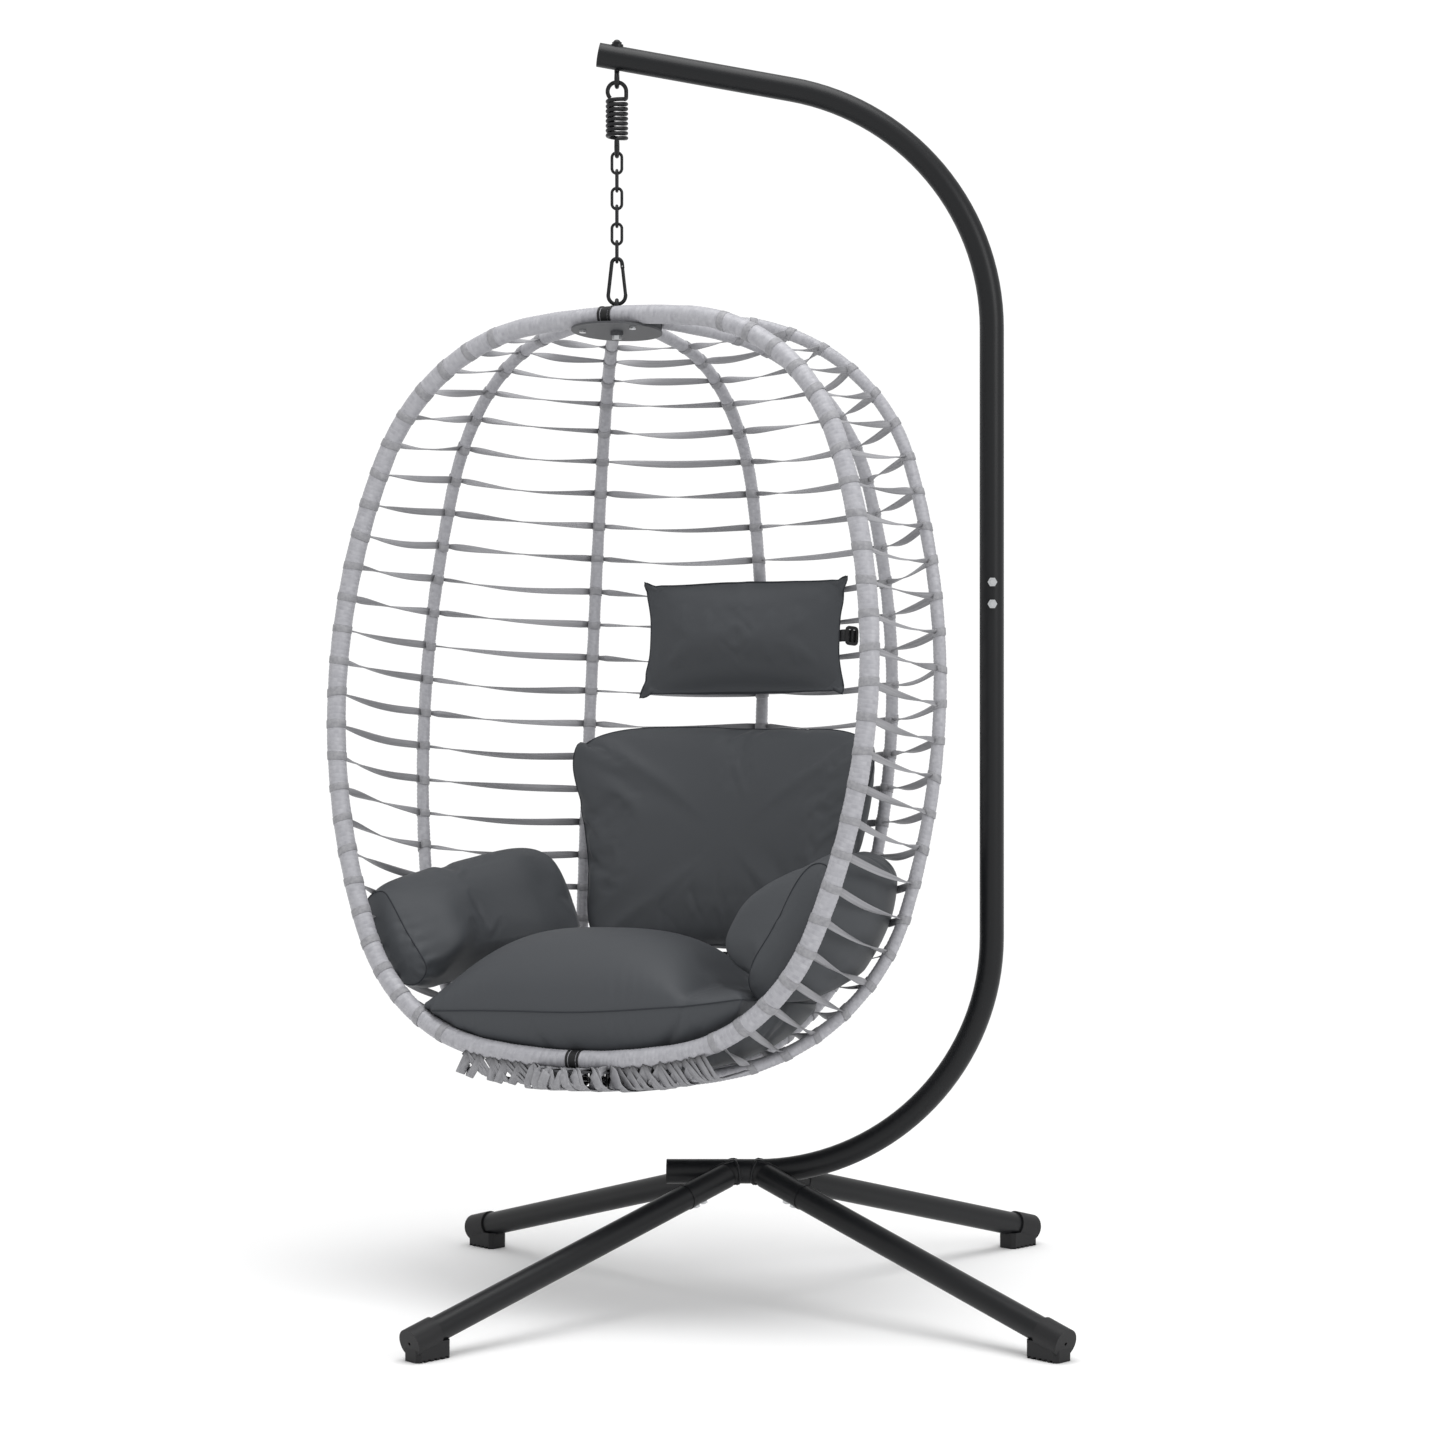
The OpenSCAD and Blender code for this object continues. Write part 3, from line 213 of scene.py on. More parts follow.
def add_mottle(material, dark, light):
    """Base colour that wanders between two tones along each wound strand."""
    nodes, links = material.node_tree.nodes, material.node_tree.links
    noise = nodes.new("ShaderNodeTexNoise")
    noise.inputs["Scale"].default_value = 1.0
    noise.inputs["Detail"].default_value = MOTTLE_DETAIL
    source = nodes.new("ShaderNodeAttribute")
    source.attribute_name = "wind"
    links.new(source.outputs["Vector"], noise.inputs["Vector"])
    ramp = nodes.new("ShaderNodeValToRGB")
    for element, place, tone in zip(ramp.color_ramp.elements, MOTTLE_RAMP, (dark, light)):
        element.position = place
        element.color = (*tone, 1)
    links.new(noise.outputs["Fac"], ramp.inputs["Fac"])
    links.new(ramp.outputs["Color"], nodes["Principled BSDF"].inputs["Base Color"])


def add_shade(material, strength):
    """Paints shade into the base colour where a strip tucks behind another piece."""
    nodes, links = material.node_tree.nodes, material.node_tree.links
    base = nodes["Principled BSDF"].inputs["Base Color"]
    source = nodes.new("ShaderNodeAttribute")
    source.attribute_name = "tuck"
    share = nodes.new("ShaderNodeMath")
    share.operation = "MULTIPLY"
    share.inputs[1].default_value = strength
    mix = nodes.new("ShaderNodeMix")
    mix.data_type = "RGBA"
    mix.inputs["B"].default_value = (*TUCK_SHADE_COLOUR, 1)
    links.new(source.outputs["Fac"], share.inputs[0])
    links.new(share.outputs["Value"], mix.inputs["Factor"])
    links.new(base.links[0].from_socket, mix.inputs["A"])
    links.new(mix.outputs["Result"], base)


powder = new_material("powder_coat", (0.006, 0.0065, 0.0075), 0.38, specular=0.28)
add_grain(powder, 900, 0.12, 0.0004)
hub_coat = new_material("hub_coat", (0.045, 0.047, 0.052), 0.5)
add_grain(hub_coat, 700, 0.1, 0.0004)
plastic = new_material("black_plastic", (0.010, 0.010, 0.011), 0.5, specular=0.3)
add_grain(plastic, 500, 0.15, 0.0005)
plated = new_material("plated_steel", (0.55, 0.56, 0.57), 0.28, metallic=1.0)
tube_metal = new_material("rib_tube", (0.3, 0.3, 0.31), 0.5, metallic=0.8)
winding = new_material("winding", (0.36, 0.36, 0.385), 0.44)
add_mottle(winding, (0.30, 0.30, 0.325), (0.41, 0.41, 0.435))
strip_mat = new_material("strip", (0.27, 0.27, 0.285), 0.55)
add_mottle(strip_mat, (0.22, 0.22, 0.235), (0.31, 0.31, 0.325))
# Painted shade where strips pass behind other pieces.
add_shade(strip_mat, 0.75)
cloth_mat = new_material("cushion_cloth", (0.050, 0.054, 0.060), 0.62, specular=0.35)
add_grain(cloth_mat, 1400, 0.10, 0.0004)
# The piping is the same cloth, painted darker as shade along the seams.
seam_shade_mat = new_material("cushion_seam_shade", (0.036, 0.039, 0.044), 0.8, specular=0.1)
web_mat = new_material("strap_web", (0.018, 0.018, 0.02), 0.75)
add_grain(web_mat, 1800, 0.3, 0.0005)
weld_mat = new_material("weld", (0.008, 0.0085, 0.01), 0.45, specular=0.3)
add_grain(weld_mat, 300, 0.5, 0.001)

FINISH = {
    "powder_coat": powder,
    "black_plastic": plastic,
    "plated_steel": plated,
    "hub_steel": hub_coat,
    "rib_tube": tube_metal,
    "winding": winding,
    "strip": strip_mat,
    "cushion_cloth": cloth_mat,
    "strap_web": web_mat,
}
for row in frame["record"]["subparts"]:
    node = frame["nodes"][row["node"]]
    node.data.materials.clear()
    node.data.materials.append(FINISH[row["material_slot"]])


# ---------------------------------------------------------------- mesh helpers
def mesh_piece(name, verts, faces, material, smooth=True):
    mesh = bpy.data.meshes.new(name)
    mesh.from_pydata([tuple(v) for v in verts], [], [tuple(int(i) for i in f) for f in faces])
    mesh.validate()
    if smooth:
        mesh.polygons.foreach_set("use_smooth", [True] * len(mesh.polygons))
    obj = bpy.data.objects.new(name, mesh)
    bpy.context.scene.collection.objects.link(obj)
    mesh.materials.append(material)
    return obj


class Builder:
    """Collects swept tubes and bands, in basket or row places, into one mesh."""

    def __init__(self):
        self.verts, self.faces, self.wind, self.tuck, self.count = [], [], [], [], 0

    def sweep(self, rings, wind=None, closed=False, tuck=None):
        """rings: n x m x 3 points. wind: noise places. tuck: how much painted shade each ring gets, from 0 to 1.
        """
        rings = np.asarray(rings, float)
        n, m = rings.shape[:2]
        base = self.count
        self.verts.append(rings.reshape(-1, 3))
        self.wind.append(np.zeros((n * m, 3)) if wind is None else np.asarray(wind).reshape(-1, 3))
        self.tuck.append(np.repeat(np.zeros(n) if tuck is None else np.asarray(tuck, float), m))
        last = n if closed else n - 1
        i = np.arange(last)[:, None] * m
        i2 = (np.arange(last)[:, None] + 1) % n * m
        j = np.arange(m)[None, :]
        j2 = (j + 1) % m
        quads = np.stack([i + j, i + j2, i2 + j2, i2 + j], axis=-1).reshape(-1, 4) + base
        self.faces.extend(quads.tolist())
        if not closed:
            self.faces.append([base + k for k in range(m)][::-1])
            self.faces.append([base + (n - 1) * m + k for k in range(m)])
        self.count += n * m

    def piece(self, name, material, slot=None, basket=True, attribute=True):
        verts = np.concatenate(self.verts)
        places = to_row(verts) if basket else verts * MM
        obj = mesh_piece(name, places, self.faces, material)
        if attribute:
            layer = obj.data.attributes.new("wind", "FLOAT_VECTOR", "POINT")
            layer.data.foreach_set("vector", np.concatenate(self.wind).astype(float).ravel())
            # Painted shade per point, which the strip material reads.
            layer = obj.data.attributes.new("tuck", "FLOAT", "POINT")
            layer.data.foreach_set("value", np.concatenate(self.tuck))
        return obj


def flat_section(width, thick, bow=0.0):
    """An 8-point outline of a flat strip: offsets across and through it."""
    w, t = width / 2, thick / 2
    e = w * STRIP_FLAT
    return np.array([[-w, 0], [-e, t], [0, t + bow], [e, t], [w, 0], [e, -t], [0, -t + bow], [-e, -t]])


def unit(v):
    return v / np.linalg.norm(v)


def circle(centre, radius, first, second, sides):
    """Points of a circle in the plane of two directions."""
    angles = np.linspace(0, 2 * math.pi, sides, False)
    return [centre + radius * (math.cos(a) * first + math.sin(a) * second) for a in angles]


# ---------------------------------------------------------------- wound hoop and ribs
RING_STEP = WRAP_PITCH / 4
SWELL, SWELL_RUNS = 0.35, (31, 13)
GROOVE_SHARPNESS = 4.5
STRAND_STEP, STRAND_ROUND = 3.7, 1.3
RIB_CLEAR, HOOP_CLEAR = 31, 6.2
RIB_SIDES, HOOP_SIDES = 12, 16


def wound_tube(builder, frame_at, first, last, radius, sides, seed):
    """A tube wound with flat strand: a shallow groove climbs round it once each turn."""
    count = int((last - first) / RING_STEP)
    rings, wind = [], []
    for i in range(count + 1):
        s = first + (last - first) * i / count
        centre, normal, _, side = frame_at(s)
        swell = SWELL * math.sin(s / SWELL_RUNS[0] + seed) * math.sin(s / SWELL_RUNS[1] + 2 * seed)
        ring, marks = [], []
        for j in range(sides):
            phase = (s / WRAP_PITCH + j / sides) % 1.0
            groove = WRAP_GROOVE * max(0.0, 1 - GROOVE_SHARPNESS * min(phase, 1 - phase))
            r = radius + swell - groove
            a = 2 * math.pi * j / sides
            ring.append(centre + r * (math.cos(a) * normal + math.sin(a) * side))
            strand = math.floor(s / WRAP_PITCH + j / sides)
            across, through = STRAND_ROUND * math.cos(a), STRAND_ROUND * math.sin(a)
            marks.append([strand * STRAND_STEP, across + seed, through])
        rings.append(ring)
        wind.append(marks)
    builder.sweep(rings, wind)


rib_windings = Builder()
for k, turn in enumerate(RIB_TURNS):
    wound_tube(
        rib_windings, lambda s, t=turn: rib_frame(t, s),
        RIB_CLEAR, RIB.length - RIB_CLEAR, RIB_OD / 2, RIB_SIDES, k + 1,
    )
ribs_wound = rib_windings.piece("ribs_wound", winding, "winding")
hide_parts("rib_wraps")
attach(ribs_wound, "basket")

hoop_windings = Builder()
for side in (-1, 1):
    wound_tube(
        hoop_windings, lambda s, d=side: hoop_frame(d, s),
        HOOP_CLEAR, HOOP.length - HOOP_CLEAR, HOOP_OD / 2, HOOP_SIDES, side + 3,
    )
hoop_wound = hoop_windings.piece("hoop_wound", winding, "winding")
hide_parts("hoop_wraps")
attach(hoop_wound, "basket")


# ---------------------------------------------------------------- flat strips and their bands
STRIP_STEPS, SINK = 18, 1.2


def band_round(builder, frame_at, s, radius, width, thick, tilt, mark):
    """One flat turn of strip round an upright, a little slanted."""
    section = flat_section(width, thick)
    rings, wind = [], []
    for i in range(STRIP_STEPS):
        a = 2 * math.pi * i / STRIP_STEPS
        centre, normal, tangent, side = frame_at(s + tilt * math.cos(a))
        out = math.cos(a) * normal + math.sin(a) * side
        rings.append([centre + out * (radius + t) + tangent * w for w, t in section])
        wind.append([[mark, 3 * math.cos(a), 0.2 * w] for w, t in section])
    builder.sweep(rings, wind, closed=True)


def hanging_strip(strips, bay, n, s):
    """One strip between two uprights: it sags, turns over and is pinched at its ends."""
    (left, left_out, _, _), left_r = upright_frame(bay - 1, s)
    (right, right_out, _, _), right_r = upright_frame(bay, s)
    along = unit(right - left)
    start = left + along * (left_r - SINK)
    end = right - along * (right_r - SINK)
    span = np.linalg.norm(end - start)
    sag = rng.uniform(0.010, 0.032) * span
    twist = rng.uniform(95, 205) * rng.choice((1, 1, -1))
    settle = rng.uniform(-18, 18)
    kink = rng.uniform(0.35, 0.7)
    rings, wind, tuck = [], [], []
    for i in range(STRIP_STEPS + 1):
        t = i / STRIP_STEPS
        # Painted shade at both ends, where the strip passes behind the uprights.
        tuck.append(math.exp(-(1 - t) * span / 7) + 0.5 * math.exp(-t * span / 5))
        turned = twist * (1 - t ** (0.5 / kink)) * (1 - 0.25 * math.sin(math.pi * t))
        a = math.radians(settle * t + turned)
        outward = unit(left_out * (1 - t) + right_out * t)
        outward = unit(outward - along * outward.dot(along))
        down = np.cross(outward, along)
        wide = math.cos(a) * down + math.sin(a) * outward
        thin = np.cross(along, wide)
        centre = start + along * span * t - UP * sag * math.sin(math.pi * t) ** 1.2
        pinch = 1 - 0.45 * math.exp(-t * span / 9) - 0.12 * math.exp(-(1 - t) * span / 5)
        section = flat_section(STRIP_W * pinch, STRIP_T, 0.5)
        rings.append([centre + wide * w + thin * q for w, q in section])
        wind.append([[0.004 * t * span + n * 5.1 + bay, 0.35 * w, 0.3 * q] for w, q in section])
    strips.sweep(rings, wind, tuck=tuck)


for bay in range(1, len(RIB_TURNS) + 2):
    strips = Builder()
    for n in range(STRIP_COUNT):
        s = STRIP_FIRST + n * STRIP_PITCH
        hanging_strip(strips, bay, n, s)
        if bay <= len(RIB_TURNS):
            band_round(
                strips, lambda q, b=bay: rib_frame(RIB_TURNS[b - 1], q), s, RIB_OD / 2 + 0.5,
                STRIP_W + rng.uniform(-1, 1.5), 1.2, rng.uniform(-3.5, 3.5), n * 1.3 + bay,
            )
        if bay in (1, len(RIB_TURNS) + 1):
            band_round(
                strips, lambda q, d=-1 if bay == 1 else 1: hoop_frame(d, q), on_hoop(s), HOOP_OD / 2 + 0.25,
                STRIP_W + rng.uniform(-1, 1.5), 0.9, rng.uniform(-3, 3), n * 1.7 + bay,
            )
    obj = strips.piece(f"strips_{bay}", strip_mat, "strip")
    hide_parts(f"weave_bay_{bay}")
    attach(obj, "basket")


# ---------------------------------------------------------------- bands beside the hoop joints
BAND_AWAY, BAND_W, BAND_T = 9.5, 4.2, 1.4
joint_bands = Builder()
for place in (BAND_AWAY, HOOP.length - BAND_AWAY):
    for side in (-1, 1):
        band_round(
            joint_bands, lambda q, d=side: hoop_frame(d, q), place,
            HOOP_OD / 2 + 0.4, BAND_W, BAND_T, 0.4, 0.0,
        )
bands = joint_bands.piece("hoop_bands", plastic, "black_plastic")
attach(bands, "basket")


# ---------------------------------------------------------------- spring
SPRING_R, SPRING_WIRE, SPRING_ELBOW, SPRING_TURNS = 14.5, 6.5, 5.5, 8.25
SPRING_STEPS, ELBOW_STEPS, SPRING_SIDES = 200, 6, 14
coil_low, coil_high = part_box("spring_coil")
hang_x = joint_place("basket_spin").x / MM
low_z, high_z = coil_low.z / MM, coil_high.z / MM
coil_foot = low_z + SPRING_WIRE + SPRING_ELBOW
coil_head = high_z - SPRING_WIRE - SPRING_ELBOW
back = math.degrees(SPRING_ELBOW / SPRING_R)


def spring_place(angle, z):
    a = math.radians(angle)
    return np.array([hang_x + SPRING_R * math.cos(a), SPRING_R * math.sin(a), z])


def spring_elbow(angle, z, up, t):
    a = angle - up * back * (1 - math.sin(math.radians(t)))
    return spring_place(a, z + up * SPRING_ELBOW * (1 - math.cos(math.radians(t))))


first_angle, last_angle = -90.0, -90.0 + 360 * SPRING_TURNS
line = [spring_place(first_angle, low_z)]
line += [spring_elbow(first_angle, coil_foot, -1, 90 * k / ELBOW_STEPS) for k in range(ELBOW_STEPS, 0, -1)]
turns_first, turns_last = back / 360, SPRING_TURNS - back / 360
for k in range(SPRING_STEPS + 1):
    t = turns_first + (turns_last - turns_first) * k / SPRING_STEPS
    line.append(spring_place(first_angle + 360 * t, coil_foot + (coil_head - coil_foot) * t / SPRING_TURNS))
line += [spring_elbow(last_angle, coil_head, 1, 90 * k / ELBOW_STEPS) for k in range(1, ELBOW_STEPS + 1)]
line.append(spring_place(last_angle, high_z))


def wire_rings(points, radius, sides):
    """Circles along a bent wire, each turned as little as it can be from the one before."""
    points = np.asarray(points, float)
    rings = []
    normal = np.array([1.0, 0.2, 0.1])
    for i, p in enumerate(points):
        ahead = unit(points[min(i + 1, len(points) - 1)] - points[max(i - 1, 0)])
        normal = unit(normal - ahead * normal.dot(ahead))
        rings.append(circle(p, radius, normal, np.cross(ahead, normal), sides))
    return rings


coil = Builder()
coil.sweep(wire_rings(line, SPRING_WIRE / 2, SPRING_SIDES))
spring = coil.piece("spring_turns", powder, "powder_coat", basket=False, attribute=False)
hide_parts("spring_coil")
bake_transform(spring)


# ---------------------------------------------------------------- weld beads at the leg sockets
WELD_STEPS, WELD_R, WELD_RIPPLE, WELD_LIFT = 56, 2.3, 0.45, 0.3
leg_run = LEG_SPREAD * math.sqrt(2)
leg_slope = math.atan((BASE_Z - LEG_END_Z) / leg_run)
welds = Builder()
for sx in (-1, 1):
    for sy in (-1, 1):
        flat = np.array([sx, sy, 0]) / math.sqrt(2)
        axis = flat * math.cos(leg_slope) - np.array([0, 0, math.sin(leg_slope)])
        root = np.array([STAND_X + LEG_ROOT_X * sx, 0, BASE_Z])
        across = unit(np.cross(axis, [0, 0, 1.0]))
        over = np.cross(across, axis)
        half = TUBE_OD / 2
        seam = []
        for i in range(WELD_STEPS):
            a = 2 * math.pi * i / WELD_STEPS
            from_axis = root + half * (math.cos(a) * across + math.sin(a) * over)
            low, high = 0.0, 90.0
            for _ in range(30):
                middle = (low + high) / 2
                p = from_axis + axis * middle
                inside = math.hypot(p[1], p[2] - BASE_Z) < half
                low, high = (middle, high) if inside else (low, middle)
            seam.append(from_axis + axis * (low + WELD_LIFT))
        rings = []
        for i, p in enumerate(seam):
            ahead = unit(seam[(i + 1) % WELD_STEPS] - seam[i - 1])
            normal = unit(np.cross(ahead, axis))
            size = WELD_R + WELD_RIPPLE * math.sin(i * 2.1)
            rings.append(circle(p, size, normal, np.cross(ahead, normal), 8))
        welds.sweep(rings, closed=True)
beads = welds.piece("weld_beads", weld_mat, "powder_coat", basket=False, attribute=False)
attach(beads, "stand")


# ---------------------------------------------------------------- cushions
def wall_place(turn, s, depth):
    """The place at a depth inside the basket's wall, at a turn and at distance s down a rib."""
    place, now = RIB.at(s)
    r = place - depth * Path.heading(now)
    t = math.radians(turn)
    return np.array([-r[0] * math.cos(t), r[0] * math.sin(t), r[1]])


floor_line = np.array([RIB.at(s)[0] for s in np.linspace(RIB.length * 0.55, RIB.length, 200)])[::-1]


def floor_at(radius):
    """Height of the ribs' centre line near the basket's floor."""
    return float(np.interp(radius, floor_line[:, 0], floor_line[:, 1]))


def knife_edge(name, skin, n_across, n_along):
    """A closed cushion of two skins that share their rim. Returns it and its rim's vertex numbers."""
    verts, faces, index = [], [], {}
    for side in (1, -1):
        for i in range(n_across + 1):
            for j in range(n_along + 1):
                rim = i in (0, n_across) or j in (0, n_along)
                key = (i, j, 0 if rim else side)
                if key not in index:
                    index[key] = len(verts)
                    verts.append(skin(2 * i / n_across - 1, 2 * j / n_along - 1, side))
        for i in range(n_across):
            for j in range(n_along):
                corners = [(i, j), (i + 1, j), (i + 1, j + 1), (i, j + 1)]
                quad = []
                for p, q in corners:
                    rim = p in (0, n_across) or q in (0, n_along)
                    quad.append(index[(p, q, 0 if rim else side)])
                faces.append(quad if side > 0 else quad[::-1])
    loop = [(i, 0) for i in range(n_across)] + [(n_across, j) for j in range(n_along)]
    loop += [(i, n_along) for i in range(n_across, 0, -1)] + [(0, j) for j in range(n_along, 0, -1)]
    rim_line = [index[(i, j, 0)] for i, j in loop]
    return mesh_piece(name, to_row(verts), faces, cloth_mat), rim_line


SLOW_SHARE = 0.05
SPREAD_ROUNDS, SPREAD_SHARE = 24, 0.6
CLOTH_FRAMES = 20


def puff(obj, pressure, cap):
    """Short cloth simulation. Its wrinkles are kept whole, and a share of its slow change of form.

    No point moves further than cap.
    """
    before = np.array([v.co for v in obj.data.vertices])
    cloth = obj.modifiers.new("puff", "CLOTH")
    settings = cloth.settings
    settings.quality = 6
    settings.mass = 0.25
    settings.tension_stiffness = 12
    settings.compression_stiffness = 12
    settings.shear_stiffness = 5
    settings.bending_stiffness = 0.15
    settings.use_pressure = True
    settings.uniform_pressure_force = pressure
    settings.effector_weights.gravity = 0
    cloth.collision_settings.use_self_collision = False
    cloth.collision_settings.use_collision = False
    cloth.point_cache.frame_start = 1
    cloth.point_cache.frame_end = CLOTH_FRAMES
    scene = bpy.context.scene
    for number in range(1, CLOTH_FRAMES + 1):
        scene.frame_set(number)
    evaluated = obj.evaluated_get(bpy.context.evaluated_depsgraph_get())
    after = np.empty(len(before) * 3)
    evaluated.data.vertices.foreach_get("co", after)
    moved = after.reshape(-1, 3) - before
    ends = np.empty(len(obj.data.edges) * 2, int)
    obj.data.edges.foreach_get("vertices", ends)
    ends = ends.reshape(-1, 2)
    count = np.bincount(ends.ravel(), minlength=len(before))[:, None]
    slow = moved.copy()
    for _ in range(SPREAD_ROUNDS):
        total = np.zeros_like(slow)
        np.add.at(total, ends[:, 0], slow[ends[:, 1]])
        np.add.at(total, ends[:, 1], slow[ends[:, 0]])
        slow = (1 - SPREAD_SHARE) * slow + SPREAD_SHARE * total / count
    moved += (SLOW_SHARE - 1) * slow
    distance = np.linalg.norm(moved, axis=1, keepdims=True)
    moved *= np.minimum(1, cap * MM / np.maximum(distance, 1e-9))
    obj.modifiers.remove(cloth)
    scene.frame_set(1)
    obj.data.vertices.foreach_set("co", (before + moved).ravel())
    obj.data.update()


def piping(name, cushion, rim, radius):
    """A sewn edge along a cushion's seam, painted darker than the cloth as shade."""
    places = np.array([cushion.data.vertices[i].co for i in rim]) / MM
    smooth = (np.roll(places, 1, 0) + 2 * places + np.roll(places, -1, 0)) / 4
    rings = []
    normal = np.array([0.3, 0.2, 1.0])
    count = len(smooth)
    for i, p in enumerate(smooth):
        ahead = unit(smooth[(i + 1) % count] - smooth[i - 1])
        normal = unit(normal - ahead * normal.dot(ahead))
        rings.append(circle(p, radius, normal, np.cross(ahead, normal), 8))
    edge = Builder()
    edge.sweep(rings, closed=True)
    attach(edge.piece(name, seam_shade_mat, "cushion_cloth", basket=False, attribute=False), "basket")


def finish_cushion(obj, rim, node):
    """The seam keeps its place when the cushion is smoothed, so its piping lies on it."""
    pairs = {frozenset(pair) for pair in zip(rim, rim[1:] + rim[:1])}
    crease = obj.data.attributes.new("crease_edge", "FLOAT", "EDGE")
    crease.data.foreach_set("value", [float(frozenset(e.vertices) in pairs) for e in obj.data.edges])
    smooth = obj.modifiers.new("smooth", "SUBSURF")
    smooth.levels = smooth.render_levels = 1
    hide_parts(node)
    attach(obj, "basket")


def crown(a, b, power=2.6, root=0.6):
    """Swell of a cushion, from 1 in the middle to 0 at the rim."""
    return (1 - abs(a) ** power) ** root * (1 - abs(b) ** power) ** root


def drawn(a, pull):
    """Draws a side in by a share at its middle."""
    return 1 - pull * (1 - a * a)


def eased(t):
    """0 before 0, 1 after 1 and a smooth step between."""
    t = min(1.0, max(0.0, t))
    return t * t * (3 - 2 * t)


def rounded_off(a, b, power):
    """Draws a square's points in, so that its outline gets round corners."""
    ring = max(abs(a), abs(b))
    if ring < 1e-9:
        return a, b
    k = ring / (abs(a) ** power + abs(b) ** power) ** (1 / power)
    return a * k, b * k


# Seat: its crown stands left of the middle, and its right side is raised by the arm cushion
SEAT_HALF, SEAT_FRONT, SEAT_DEPTH, SEAT_SEAM_Z = 292, -46, 338, -1057
SEAT_CROWN, SEAT_SHIFT, SEAT_DOME, SEAT_RAISE, SEAT_BELOW = 134, -48, 0.775, 26, 104
HALF_BAY = math.radians(16.5)


def seat_skin(a, b, side):
    half = SEAT_HALF * drawn(b, 0.03)
    u = half * a * (1 - 0.16 * b * b if b > 0 else 1)
    w = SEAT_FRONT + SEAT_DEPTH / 2 + SEAT_DEPTH / 2 * b * drawn(a, -0.02)
    seam = SEAT_SEAM_Z + SEAT_RAISE * max(0, a + 0.1) ** 1.6 - 6 * max(0, -a) ** 3
    if side > 0:
        c = min(1, abs(u - SEAT_SHIFT) / (SEAT_HALF * SEAT_DOME))
        along = (1 - abs(b) ** 2.4) ** 0.6
        dome = 0.8 * (1 - c**2.7) ** 0.62 + 0.2 * (1 - a**4) ** 0.7
        return u, w, seam + SEAT_CROWN * dome * along
    floor = floor_at(math.hypot(u, w) / math.cos(HALF_BAY)) + RIB_OD / 2 + 1
    return u, w, max(seam - SEAT_BELOW * crown(a, b), min(seam, floor))


seat, seat_rim = knife_edge("seat", seat_skin, 96, 56)

# Back: wide at the top and narrow at the waist
BACK_TURN, BACK_S, BACK_DEPTH, BACK_T = 92.9, 1112, 21, 100
BACK_W, BACK_H, BACK_ARCH, BACK_TILT, BACK_WAIST = 636, 428, 34, 9, 0.17


def back_skin(a, b, side):
    swell = BACK_T / 2 * crown(a, b)
    a, b = rounded_off(a, b, 7)
    radius = RIB.at(BACK_S)[0][0] - BACK_DEPTH - BACK_T / 2
    half = BACK_W / 2 * drawn(b, 0.03) * (1 - BACK_WAIST * (b + 1) / 2)
    s = BACK_S + b * BACK_H / 2
    s += (BACK_ARCH * abs(a) ** 2.6 - 8 + BACK_TILT * a) * max(0, -b)
    turn = BACK_TURN + math.degrees(a * half / radius)
    return wall_place(turn, s, BACK_DEPTH + BACK_T / 2 + side * swell)


back_cushion, back_rim = knife_edge("back", back_skin, 84, 56)

# Pillow
PILLOW_U, PILLOW_W, PILLOW_H, PILLOW_T, PILLOW_CURL = 8, 392, 200, 80, 10
PILLOW_MID_W, PILLOW_Z = 441, -431.9


def pillow_skin(a, b, side):
    return (
        PILLOW_U + a * PILLOW_W / 2 * drawn(b, 0.06),
        PILLOW_MID_W - PILLOW_CURL * a * a - side * PILLOW_T / 2 * crown(a, b, 2.2, 0.75),
        PILLOW_Z + b * PILLOW_H / 2 * drawn(a, 0.12),
    )


pillow, pillow_rim = knife_edge("pillow", pillow_skin, 62, 32)

# Arms: stuffed bolsters with a flat end panel, bent along the basket's wall
ARM_DEPTH, ARM_T, ARM_DOME = 13, 112, 9
ARM_FRONT_S, ARM_FRONT_HALF, ARM_BACK_HALF = 1330, 119, 108
ARM_RADIUS, ARM_BACK_TURN = 390, 58
ARM_CELLS = (48, 32, 16)
BULGE_WAY = np.array([0.97, -0.2, -0.12])


def arm_skin(x, y, z, back_turn, back_s, bulge, shift_top, shift_bottom):
    """x from front to back, y up and z inwards, each from -1 to 1 on the skin of a box."""
    ring = max(abs(y), abs(z))
    y, z = rounded_off(y, z, 2.7)
    high = y * (1 - 0.10 * abs(x) ** 8)
    share = (x * (1 - 0.085 * abs(y) ** 5 * (1.5 if x > 0 else 0.6)) + 1) / 2
    up = (high + 1) / 2
    turn = (1 + up) * (1 - share) + (ARM_BACK_TURN + (back_turn - ARM_BACK_TURN) * up) * share
    if abs(x) > 0.9999:
        turn += math.degrees(math.copysign(ARM_DOME, x) * (1 - ring**2) / ARM_RADIUS)
    half = ARM_FRONT_HALF + (ARM_BACK_HALF - ARM_FRONT_HALF) * share
    s = ARM_FRONT_S + (back_s - ARM_FRONT_S) * share - high * half
    taper = eased((x - 0.55) / 0.45)
    thick = ARM_T / 2 * (0.6 + 0.4 * eased((x + 1) / 0.5)) * (1 - 0.45 * taper**1.5)
    middle = ARM_DEPTH + ARM_T / 2 * 0.86 * (1 - 0.22 * eased((x - 0.45) / 0.55))
    place = wall_place(turn, s, middle + z * thick + (10 - 6 * y) * (1 - share))
    moved = np.array(shift_top) * (y + 1) / 2 + np.array(shift_bottom) * (1 - y) / 2
    place = place + (1 - eased((x + 1) / 1.7)) * moved
    swell = bulge * max(0, z) * math.exp(-(((x + 0.58) / 0.42) ** 2)) * eased((x + 1) / 0.3)
    return place + swell * (1 - abs(y + 0.12) ** 3) * BULGE_WAY


def left_arm(x, y, z):
    return arm_skin(x, y, z, 48.5, 1214, 36, (0, 0, 0), (0, 0, 0))


def right_arm(x, y, z):
    place = arm_skin(x, y, z, 51.5, 1216, 84, (32, 0, 50), (34, -4, -10))
    return place * np.array([-1, 1, 1])


